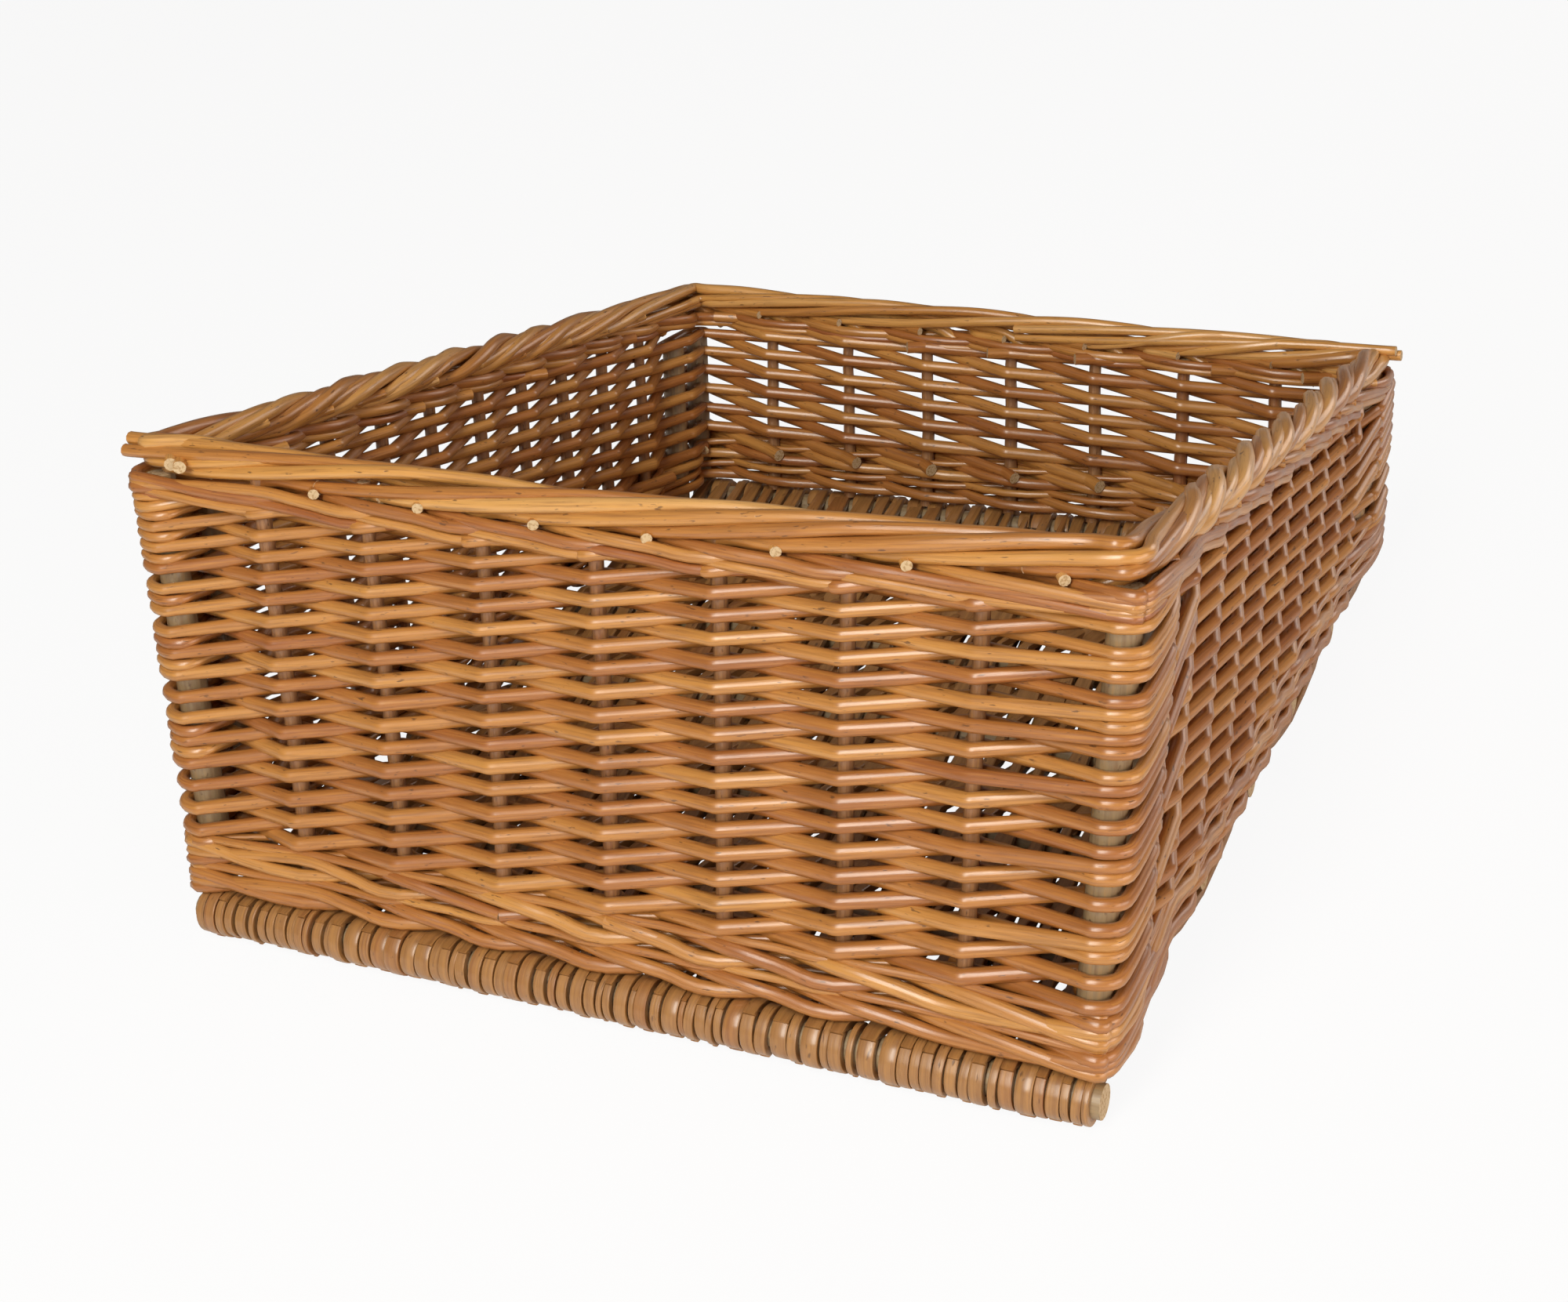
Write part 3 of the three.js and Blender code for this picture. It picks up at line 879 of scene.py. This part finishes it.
# How a rod bends at a corner, as shares of its reach out of the wall before and the wall after
CORNER_BENDS = {
    "out": ((1.0, 0.0), (0.74, 0.74), (0.0, 1.0)),
    "in": ((-0.74, -0.74),),
    "stub": ((1.0, 0.25), (0.68, 0.74), (0.0, 1.0), (-0.72, 0.70), (-1.0, 0.0), (-1.3, -0.8)),
}


def corner_pass(basket, corner, height_at, reach, manner):
    """The points of a rod at a corner's two posts, each with its place on the ring and its reach.

    out: outside both posts; in: inside both; stub: round the outside, then in behind the second.
    """
    side = basket.side_post(corner)
    beside = -reach if manner == "in" else reach
    post = [(side, basket.at(side, height_at(side), beside), beside)]
    height = height_at(corner)
    turn = []
    for before, after in CORNER_BENDS[manner]:
        point = basket.turn(corner, height, before * reach, after * reach)
        turn.append((corner, point, max(before, after, key=abs) * reach))
    return post + turn if side < corner else turn + post


class BASKET_OT_rand(BasketPiece, bpy.types.Operator):
    """Weave the walls: a rod starts behind every upright and climbs one row at each, in and out"""

    bl_idname = "basket.rand"
    bl_label = "Wall Weave"

    TOP_DEPTH_TALL = 0.0222
    TOP_DEPTH_LOW = 0.0178
    FIRST_ROW = 0.0428
    ROW_EASE = 0.0000283
    LOW_SPREAD = 0.12
    STEPS = 3
    LAP = 0.95
    PRESS = 0.0003
    DRIFT = 0.0003
    SHARES_BETWEEN = (0.09, 0.5, 0.91)
    END_PAST = 0.17
    END_SPREAD = 0.04
    END_TILT = 1.8
    TUCK_THROUGH = 0.35
    TUCK_PAST = 0.68
    TUCK_REACH = 0.9
    CORNER_THIN = 0.16
    CORNER_SPAN = 0.7
    THICK_SPREAD = 0.07
    BUTT = 1.10
    THINNING = 1.8
    LOW_TINT = 0.2
    TINT_REACH = 0.7

    # How a rod on an even row may turn each corner, by the corner's number on the ring
    CORNER_MANNERS = {
        0: ("stub", "stub", "in"),
        8: ("in", "in", "out"),
        18: ("out", "out", "in"),
        26: ("in",),
    }

    def make(self):
        walls = {name: [] for name in WALL_NAMES}
        for upright in range(self.basket.count):
            for row in range(self.rows(upright) + 1):
                if row == 0 or row - 1 > self.rows(upright - 1):
                    self.weave(self.stops(upright, row), walls)
        for name, rods in walls.items():
            nodes = [f"{name}_wall_rand"]
            sweep(f"{name}_wall_weave", rods, "weaving_willow", nodes, steps=1)

    def top_depth(self, u):
        """How far under the rim the highest row may lie."""
        change = self.TOP_DEPTH_LOW - self.TOP_DEPTH_TALL
        return self.TOP_DEPTH_TALL + self.basket.lowness(u) * change

    def level(self, row, u):
        """The height of a row. The rods thin as they climb, so the rows draw closer."""
        climb = row * self.sizes.row_rise - self.ROW_EASE * row * row / 2
        return self.FIRST_ROW + climb * (1 + self.LOW_SPREAD * self.basket.lowness(u))

    def rows(self, upright):
        """The number of the highest row under the rim at an upright."""
        top = self.basket.rim_height(upright) - self.top_depth(upright)
        row = 0
        while self.level(row + 1, upright) <= top:
            row += 1
        return row

    def stops(self, upright, row):
        """The uprights that a rod passes, with its row at each."""
        found = []
        while row <= self.rows(upright):
            found.append((upright, row))
            upright += 1
            row += 1
        return found

    def passes(self, upright, row, drift):
        """The points of a rod at one upright: outside on odd rows, inside on even rows."""
        outside = row % 2 == 1

        def height_at(u):
            return self.level(row + u - upright, u) + drift

        if self.basket.is_corner(upright):
            manners = self.CORNER_MANNERS[upright % self.basket.count]
            manner = "out" if outside else self.hand.random.choice(manners)
            reach = (self.sizes.post_diameter + self.sizes.rod_diameter) / 2
            return corner_pass(self.basket, upright, height_at, reach, manner)
        reach = (self.sizes.stake_diameter + self.sizes.rod_diameter) / 2 - self.PRESS
        reach = reach if outside else -reach
        return [(upright, self.basket.at(upright, height_at(upright), reach), reach)]

    def weave(self, stops, walls):
        """One rod from its butt to its tip, cut into one length for each wall that it crosses."""
        thick = self.sizes.rod_diameter / 2 * self.hand.about(1.0, self.THICK_SPREAD)
        tint = self.hand.tint(self.LOW_TINT, self.TINT_REACH)
        drift = self.hand.wander(len(stops), self.DRIFT)
        groups = [self.passes(*stop, drift[i]) for i, stop in enumerate(stops)]
        marks = self.tail(groups[0][0], -1)
        for i, group in enumerate(groups):
            marks += [(u, point) for u, point, _ in group]
            if i < len(groups) - 1:
                marks += self.between(stops[i], group[-1], groups[i + 1][0], drift[i : i + 2])
        marks += self.tail(groups[-1][-1], 1)
        line = smooth_line([point for _, point in marks], self.STEPS)
        steps = np.arange(len(line)) / self.STEPS
        places = np.interp(steps, range(len(marks)), [u for u, _ in marks])
        thinned = thick * (1 - self.CORNER_THIN * self.cornered(places))
        cuts = self.corner_cuts(marks, stops)
        for first, last in zip(cuts, cuts[1:]):
            wall, _ = self.basket.place(marks[(first + last) // 2][0])
            part = slice(max(first * self.STEPS - 1, 0), last * self.STEPS + 2)
            points = line[part]
            radii = thinned[part] * (self.BUTT - self.THINNING * (points[:, 2] - self.FIRST_ROW))
            radii[0] *= self.LAP if first > 0 else 1.0
            radii[-1] *= self.LAP if last < cuts[-1] else 1.0
            walls[WALL_NAMES[wall]].append(Rod(points, radii, tint))

    def cornered(self, places):
        """1 at a corner, falling to 0 a short way from it."""
        far = np.full(len(places), float(self.basket.count))
        for first in self.basket.firsts + [self.basket.count]:
            far = np.minimum(far, np.abs(places % self.basket.count - first))
        return np.clip(1 - far / self.CORNER_SPAN, 0, 1)

    def corner_cuts(self, marks, stops):
        """The places in a rod's points where it goes from one wall to the next."""
        cuts = {0, len(marks) - 1}
        for upright, _ in stops:
            if self.basket.is_corner(upright):
                turn = [i for i, (u, _) in enumerate(marks) if u == upright]
                cuts.add(turn[len(turn) // 2])
        return sorted(cuts)

    def between(self, stop, leaving, arriving, drifts):
        """The points between two uprights: straight from one side of the wall to the other."""
        upright, row = stop
        marks = []
        for share in self.SHARES_BETWEEN:
            u = leaving[0] + (arriving[0] - leaving[0]) * share
            out = leaving[2] + (arriving[2] - leaving[2]) * share
            height = self.level(row + u - upright, u) + drifts[0] + (drifts[1] - drifts[0]) * share
            marks.append((u, self.basket.beside(u, height, out)))
        return marks

    def tail(self, passing, way):
        """The trimmed end of a rod: tilted off the wall inside, or tucked through it from outside."""
        place, point, reach = passing
        if reach < 0:
            ends = [(self.hand.about(self.END_PAST, self.END_SPREAD), reach * self.END_TILT)]
        else:
            ends = [(self.TUCK_THROUGH, 0.0), (self.TUCK_PAST, -reach * self.TUCK_REACH)]
        marks = []
        for far, out in ends:
            u = place + way * far
            marks.append((u, self.basket.at(u, point.z + way * far * self.sizes.row_rise, out)))
        return marks[::way]


# Wales: bands of rods that go before two uprights and behind one
WALE_RODS = 3
WALE_CLEAR = 0.0002
WALE_DRIFT = 0.0003
WALE_SWELL = 1.02
WALE_SPREAD = 0.06
WALE_BUTT = 1.08
WALE_TIP = 0.92


def wale_rod(piece, start, phase, height_at, diameter, fall):
    """One wale rod round the whole ring: before two uprights and behind one, over and over."""
    basket = piece.basket
    hand = piece.hand
    stake = (piece.sizes.stake_diameter + diameter) / 2 + WALE_CLEAR
    post = (piece.sizes.post_diameter + diameter) / 2
    drift = hand.wander(basket.count + 1, WALE_DRIFT)
    points = []
    for step in range(basket.count + 1):
        upright = start + step
        turn = (upright + phase) % WALE_RODS
        lift = (0.0, fall, -fall)[turn] + drift[step]
        if basket.is_corner(upright):
            inside = turn == 0 and basket.is_back(upright)
            manner = "in" if inside else "out"
            passing = corner_pass(basket, upright, lambda u: height_at(u) + lift, post, manner)
            points += [point for _, point, _ in passing]
        else:
            reach = -stake if turn == 0 else stake
            points.append(basket.at(upright, height_at(upright) + lift, reach))
        if turn == 1 and not basket.is_corner(upright) and not basket.is_corner(upright + 1):
            u = upright + 0.5
            points.append(basket.at(u, height_at(u) + drift[step], stake * WALE_SWELL))
    radius = diameter / 2 * hand.about(1.0, WALE_SPREAD)
    return Rod(points, tapered(radius, WALE_BUTT, WALE_TIP, len(points)), hand.tint())


class BASKET_OT_upset_wale(BasketPiece, bpy.types.Operator):
    """Wale courses of thick and thin rods round the foot of the walls"""

    bl_idname = "basket.upset_wale"
    bl_label = "Upset Wale"

    # Each course: its height, its thickness as a share of a wale rod, and how far its rods fall
    COURSES = (
        (0.0258, 1.0, 0.0028),
        (0.0384, 1.0, 0.0034),
        (0.0318, 0.72, 0.0006),
        (0.0438, 0.62, 0.0004),
    )
    FIRST_START = 27
    COURSE_SHIFT = 11

    def make(self):
        rods = []
        for course, (height, thickness, fall) in enumerate(self.COURSES):
            diameter = self.sizes.wale_diameter * thickness
            for phase in range(WALE_RODS):
                start = phase + self.COURSE_SHIFT * course + self.FIRST_START
                rods.append(wale_rod(self, start, phase + course, lambda u: height, diameter, fall))
        nodes = [f"upset_wale_rod_{i}" for i in (1, 2, 3)]
        sweep("upset_wale", rods, "weaving_willow", nodes)


class BASKET_OT_top_wale(BasketPiece, bpy.types.Operator):
    """Wale two thin courses of rods under the border, drawn a little closer on the low wall"""

    bl_idname = "basket.top_wale"
    bl_label = "Top Wale"

    # Each course: its depth under the border, and its thickness as a share of a wale rod
    COURSES = ((0.0012, 0.84), (0.0054, 0.72))
    LOW_SHARE = 0.8
    FALL = 0.0016
    FIRST_START = 20
    COURSE_SHIFT = 7
    ROD_SHIFT = 5

    def make(self):
        rods = []
        for course, (depth, thickness) in enumerate(self.COURSES):
            diameter = self.sizes.wale_diameter * thickness

            def height_at(u):
                return self.height(u, depth)

            for phase in range(WALE_RODS):
                start = phase * self.ROD_SHIFT + self.COURSE_SHIFT * course + self.FIRST_START
                rods.append(wale_rod(self, start, phase + course, height_at, diameter, self.FALL))
        nodes = [f"top_wale_rod_{i}" for i in (1, 2)]
        sweep("top_wale", rods, "weaving_willow", nodes)

    def height(self, u, depth):
        """The height of a course, from its depth under the border of the tall wall."""
        drawn = depth * (1 - (1 - self.LOW_SHARE) * self.basket.lowness(u))
        return self.basket.rim_height(u) - self.sizes.border_height - drawn


class BASKET_OT_border(BasketPiece, bpy.types.Operator):
    """Roll the border: each upright's rod winds round the rim and is trimmed underneath"""

    bl_idname = "basket.border"
    bl_label = "Rolled Border"

    # The winding of a rod, in degrees round the rim and in uprights along it
    START_TURN = -75.0
    END_TURN = 262.0
    LEAD_SPREAD = 18.0
    START_SPREAD = 0.12
    REACH_SPREAD = 0.5
    ROOT_BACK = 0.35
    ROOT_WIND = 0.5
    ROOT_UNDER = 0.011
    TUCK_PAST = 0.25
    TUCK_TURN = 50.0
    POINTS = 15
    CORNER_CLEAR = 0.17
    CORNER_DRAW = 0.8
    DRIFT = 0.0004
    THICK_SPREAD = 0.13
    BUTT = 1.08
    TIP = 0.88
    LOW_TINT = 0.2
    TINT_REACH = 0.8

    # The side walls' rods: shorter and thicker, with a second one sunk between
    SIDE_REACH = 0.56
    SIDE_THICK = 1.25
    SUNK = 0.8

    # Rods whose ends stand out past two corners
    TIP_CORNERS = (0, 18)
    TIP_TURNS = (20.0, 75.0)
    TIP_REACH = 0.012
    TIP_REACH_SPREAD = 0.002
    TIP_BASE = 0.4
    TIP_THICK = 0.95
    TIP_THICK_SPREAD = 0.08
    TIP_WIND = 1.12
    TIP_RUN = 0.7
    TIP_TWIST = 150.0
    TIP_STEPS = 8
    TIP_THIN = 0.85

    # Trimmed ends that come through under the border: two at the first corner, one past each upright
    CUT_PLACES = (0.33, 0.41)
    CUT_DEPTH = 0.0065
    CUT_OUT = 0.0115
    CUT_RADIUS = 0.0026
    TRIM_PLACE = 0.55
    TRIM_PLACE_SPREAD = 0.06
    TRIM_DEPTH = 0.0128
    TRIM_OUT = 0.0072
    TRIM_RADIUS = 0.0021
    TRIM_DEPTH_SPREAD = 0.0008
    TRIM_HIDDEN = ((0.5, -0.006), (0.3, -0.003))
    TRIM_BEND = 0.12
    TRIM_SLOPE = 0.008

    def make(self):
        rods = []
        for upright in range(self.basket.count):
            if self.basket.is_side(upright):
                rods.append(self.rod(upright, self.SIDE_THICK, 1.0))
                rods.append(self.rod(upright + 0.5, 1.0, self.SUNK))
            else:
                rods.append(self.rod(upright, 1.0, 1.0))
        for corner in self.TIP_CORNERS:
            rods += [self.tip(corner, turn) for turn in self.TIP_TURNS]
        for u in self.CUT_PLACES:
            rods.append(self.cut_through(u, self.CUT_DEPTH, self.CUT_OUT, self.CUT_RADIUS))
        for upright in range(1, self.basket.count):
            u = upright + self.hand.about(self.TRIM_PLACE, self.TRIM_PLACE_SPREAD)
            rods.append(self.cut_through(u, self.TRIM_DEPTH, self.TRIM_OUT, self.TRIM_RADIUS))
        nodes = [f"border_rod_{i}" for i in (1, 2, 3)]
        sweep("rolled_border", rods, "rolled_willow", nodes, sides=10)

    def tinted(self):
        return self.hand.tint(self.LOW_TINT, self.TINT_REACH)

    def places(self, start, reach):
        """Places on the ring along a border rod, with every corner it turns among them."""
        corners = [first + lap * self.basket.count for first in self.basket.firsts for lap in (0, 1)]
        turned = [corner for corner in corners if start < corner < start + reach]
        found = list(turned)
        for i in range(self.POINTS):
            u = start + reach * i / (self.POINTS - 1)
            if all(abs(u - corner) > self.CORNER_CLEAR for corner in turned):
                found.append(u)
        return sorted(found)

    def wind(self):
        """How far a border rod's middle winds from the middle of the rim."""
        return self.sizes.border_height / 2 - self.sizes.border_diameter / 2

    def rod(self, start, thickness, depth):
        """One rod from beside its upright, up and over the rim and down inside it."""
        start = start + self.hand.about(0.0, self.START_SPREAD)
        radius = self.sizes.border_diameter / 2 * self.hand.about(thickness, self.THICK_SPREAD)
        wind = self.wind() * depth
        share_of_reach = self.SIDE_REACH if self.basket.is_side(start) else 1.0
        reach = self.hand.about(self.sizes.border_reach, self.REACH_SPREAD) * share_of_reach
        lead = self.hand.about(0.0, self.LEAD_SPREAD)
        places = self.places(start, reach)
        drift = self.hand.wander(len(places), self.DRIFT)
        root = start - self.ROOT_BACK
        points = [self.at(root, self.START_TURN, wind * self.ROOT_WIND, self.ROOT_UNDER)]
        for i, u in enumerate(places):
            share = (u - start) / reach
            turn = self.START_TURN + (self.END_TURN - self.START_TURN) * share
            points.append(self.at(u, turn + lead * math.sin(share * math.pi), wind + drift[i], 0.0))
        tuck = start + reach + self.TUCK_PAST
        points.append(self.at(tuck, self.END_TURN + self.TUCK_TURN, wind, 0.0))
        return Rod(points, tapered(radius, self.BUTT, self.TIP, len(points)), self.tinted())

    def tip(self, corner, degrees):
        """A rod whose end stands out past a corner."""
        thickness = self.hand.about(self.TIP_THICK, self.TIP_THICK_SPREAD)
        radius = self.sizes.border_diameter / 2 * thickness
        wind = self.wind() * self.TIP_WIND
        reach = self.sizes.border_reach * self.TIP_RUN
        height = self.basket.rim_height(corner) - self.sizes.border_height / 2
        turn = math.radians(degrees)
        out = wind * math.cos(turn)
        rise = Vector((0, 0, wind * math.sin(turn)))
        end = self.hand.about(self.TIP_REACH, self.TIP_REACH_SPREAD)
        points = []
        for far in (end, self.TIP_REACH * self.TIP_BASE):
            points.append(self.basket.turn(corner, height, far, out) + rise)
        for i in range(1, self.TIP_STEPS + 1):
            share = i / self.TIP_STEPS
            u = corner + reach * share
            points.append(self.at(u, degrees + self.TIP_TWIST * share, wind, 0.0))
        return Rod(points, tapered(radius, 1.0, self.TIP_THIN, len(points)), self.tinted())

    def cut_through(self, u, depth, out, radius):
        """The trimmed end of a rod that comes through the wall under the border."""
        height = self.basket.rim_height(u) - self.hand.about(depth, self.TRIM_DEPTH_SPREAD)
        marks = [*self.TRIM_HIDDEN, (self.TRIM_BEND, out - self.TRIM_SLOPE), (0.0, out)]
        points = [self.basket.at(u - back, height, far) for back, far in marks]
        return Rod(points, radius, self.tinted())

    def at(self, u, degrees, wind, under):
        """A point on the rolled rim: outward at 0 degrees, up at 90."""
        turn = math.radians(degrees)
        height = self.basket.rim_height(u) - self.sizes.border_height / 2 - under
        out = wind * math.cos(turn)
        rise = Vector((0, 0, wind * math.sin(turn)))
        if u % 1 == 0 and self.basket.is_corner(int(u)):
            drawn = out * self.CORNER_DRAW
            return self.basket.turn(u, height, drawn, drawn) + rise
        return self.basket.at(u, height, out) + rise


class BASKET_OT_stage(bpy.types.Operator):
    """Set the floor, the soft light and the camera"""

    bl_idname = "basket.stage"
    bl_label = "Studio Stage"

    FLOOR_HALF = 6.0
    FLOOR_LEVEL = -0.0008
    FLOOR_FADE = 0.985
    FLOOR_WHITE = 0.92
    WHITE = (1.0, 1.0, 1.0)
    SHADE_TONE = (1.0, 0.78, 0.66)
    SHADE_STRENGTH = 0.15

    # Each lamp: its place, its width and height, its power in watts and its tone
    LAMPS = {
        "key": ((0.05, -1.55, 1.35), (0.5, 1.7), 31.0, (1.0, 0.98, 0.90)),
        "fill": ((1.7, -0.6, 0.42), (1.6, 0.7), 14.0, (1.0, 0.90, 0.84)),
        "back": ((1.2, 2.2, 0.9), (1.2, 1.2), 9.0, (1.0, 0.91, 0.84)),
    }
    LAMP_AIM = (0.0, 0.0, 0.08)

    IMAGE_WIDTH = 2000
    FOCAL_PIXELS = 2802
    SENSOR_MM = 36.0
    AZIMUTH = 27.51
    ELEVATION = 27.10
    ROLL = -5.43
    CAMERA_PLACE = (0.387, -0.797, 0.502)
    CAMERA_NEAR = 0.01

    def execute(self, context):
        scene = context.scene
        scene.view_settings.view_transform = "Standard"
        self.floor(scene)
        self.light(scene)
        self.camera(scene)
        return {"FINISHED"}

    def floor(self, scene):
        """A pale floor that the camera sees nearly white, with the basket's shadow on it."""
        half, level = self.FLOOR_HALF, self.FLOOR_LEVEL
        corners = [(-half, -half), (half, -half), (half, half), (-half, half)]
        mesh = bpy.data.meshes.new("floor")
        mesh.from_pydata([(x, y, level) for x, y in corners], [], [(0, 1, 2, 3)])
        floor = bpy.data.objects.new("floor", mesh)
        scene.collection.objects.link(floor)
        material, bench, shader = new_finish("studio_floor")
        place = bench.add("ShaderNodeTexCoord", out="Object")
        dust = bench.add("ShaderNodeTexNoise", None, {"Vector": place, "Scale": 3.0, "Detail": 3.0})
        plain = scene.basket_colours.floor
        faded = tuple(c * self.FLOOR_FADE for c in plain)
        bench.feed(shader, {"Base Color": bench.blend(dust, plain, faded), "Roughness": 0.9})
        glow = bench.add("ShaderNodeEmission", None, {"Color": (*self.WHITE, 1.0), "Strength": 1.0})
        seen = bench.add("ShaderNodeLightPath", out="Is Camera Ray")
        surfaces = {0: seen * self.FLOOR_WHITE, 1: Term(bench, shader.outputs[0]), 2: glow}
        mix = bench.add("ShaderNodeMixShader", None, surfaces)
        bench.feed(material.node_tree.nodes["Material Output"], {"Surface": mix})
        mesh.materials.append(material)

    def light(self, scene):
        """A world that is white to the camera and a faint warm light to the basket, and the lamps."""
        world = bpy.data.worlds.new("studio")
        scene.world = world
        world.use_nodes = True
        bench = Bench(world.node_tree)
        seen = bench.add("ShaderNodeLightPath", out="Is Camera Ray")
        tone = bench.blend(seen, self.SHADE_TONE, self.WHITE)
        strength = seen * (1 - self.SHADE_STRENGTH) + self.SHADE_STRENGTH
        bench.feed(world.node_tree.nodes["Background"], {"Color": tone, "Strength": strength})
        for name, (place, size, power, tone) in self.LAMPS.items():
            data = bpy.data.lights.new(name, "AREA")
            data.shape = "RECTANGLE"
            data.size, data.size_y = size
            data.energy = power
            data.color = tone
            lamp = bpy.data.objects.new(name, data)
            scene.collection.objects.link(lamp)
            aim = Vector(self.LAMP_AIM) - Vector(place)
            turn = aim.to_track_quat("-Z", "Y").to_matrix()
            lamp.matrix_world = Matrix.Translation(place) @ turn.to_4x4()

    def camera(self, scene):
        """The camera at the photograph's viewing angle."""
        azimuth, elevation, roll = map(math.radians, (self.AZIMUTH, self.ELEVATION, self.ROLL))
        back = Vector(
            (
                math.sin(azimuth) * math.cos(elevation),
                -math.cos(azimuth) * math.cos(elevation),
                math.sin(elevation),
            )
        )
        level = (-back).cross(Vector((0, 0, 1))).normalized()
        rise = level.cross(-back)
        right = level * math.cos(roll) + rise * math.sin(roll)
        upward = rise * math.cos(roll) - level * math.sin(roll)
        turn = Matrix((right, upward, back)).transposed()
        data = bpy.data.cameras.new("camera")
        data.sensor_fit = "HORIZONTAL"
        data.sensor_width = self.SENSOR_MM
        data.lens = self.FOCAL_PIXELS * self.SENSOR_MM / self.IMAGE_WIDTH
        data.clip_start = self.CAMERA_NEAR
        camera = bpy.data.objects.new("camera", data)
        scene.collection.objects.link(camera)
        camera.matrix_world = Matrix.Translation(self.CAMERA_PLACE) @ turn.to_4x4()
        scene.camera = camera


OPERATORS = (
    BASKET_OT_base_sticks,
    BASKET_OT_base_weavers,
    BASKET_OT_corner_posts,
    BASKET_OT_stakes,
    BASKET_OT_rand,
    BASKET_OT_upset_wale,
    BASKET_OT_top_wale,
    BASKET_OT_border,
    BASKET_OT_stage,
)


class BASKET_PT_panel(bpy.types.Panel):
    """The basket's sizes, finishes and pieces"""

    bl_idname = "BASKET_PT_panel"
    bl_label = "Willow Shelf Basket"
    bl_space_type = "VIEW_3D"
    bl_region_type = "UI"
    bl_category = "Basket"

    def draw(self, context):
        for operator in OPERATORS:
            self.layout.operator(operator.bl_idname)
        for group in (context.scene.basket_sizes, context.scene.basket_colours):
            for name in group.__annotations__:
                self.layout.prop(group, name)


CLASSES = (BasketSizes, BasketColours, *OPERATORS, BASKET_PT_panel)


def register():
    for cls in CLASSES:
        bpy.utils.register_class(cls)
    bpy.types.Scene.basket_sizes = PointerProperty(type=BasketSizes)
    bpy.types.Scene.basket_colours = PointerProperty(type=BasketColours)


def unregister():
    del bpy.types.Scene.basket_colours
    del bpy.types.Scene.basket_sizes
    for cls in reversed(CLASSES):
        bpy.utils.unregister_class(cls)


def main():
    register()
    for operator in OPERATORS:
        group, name = operator.bl_idname.split(".")
        getattr(getattr(bpy.ops, group), name)()


if __name__ == "__main__":
    main()
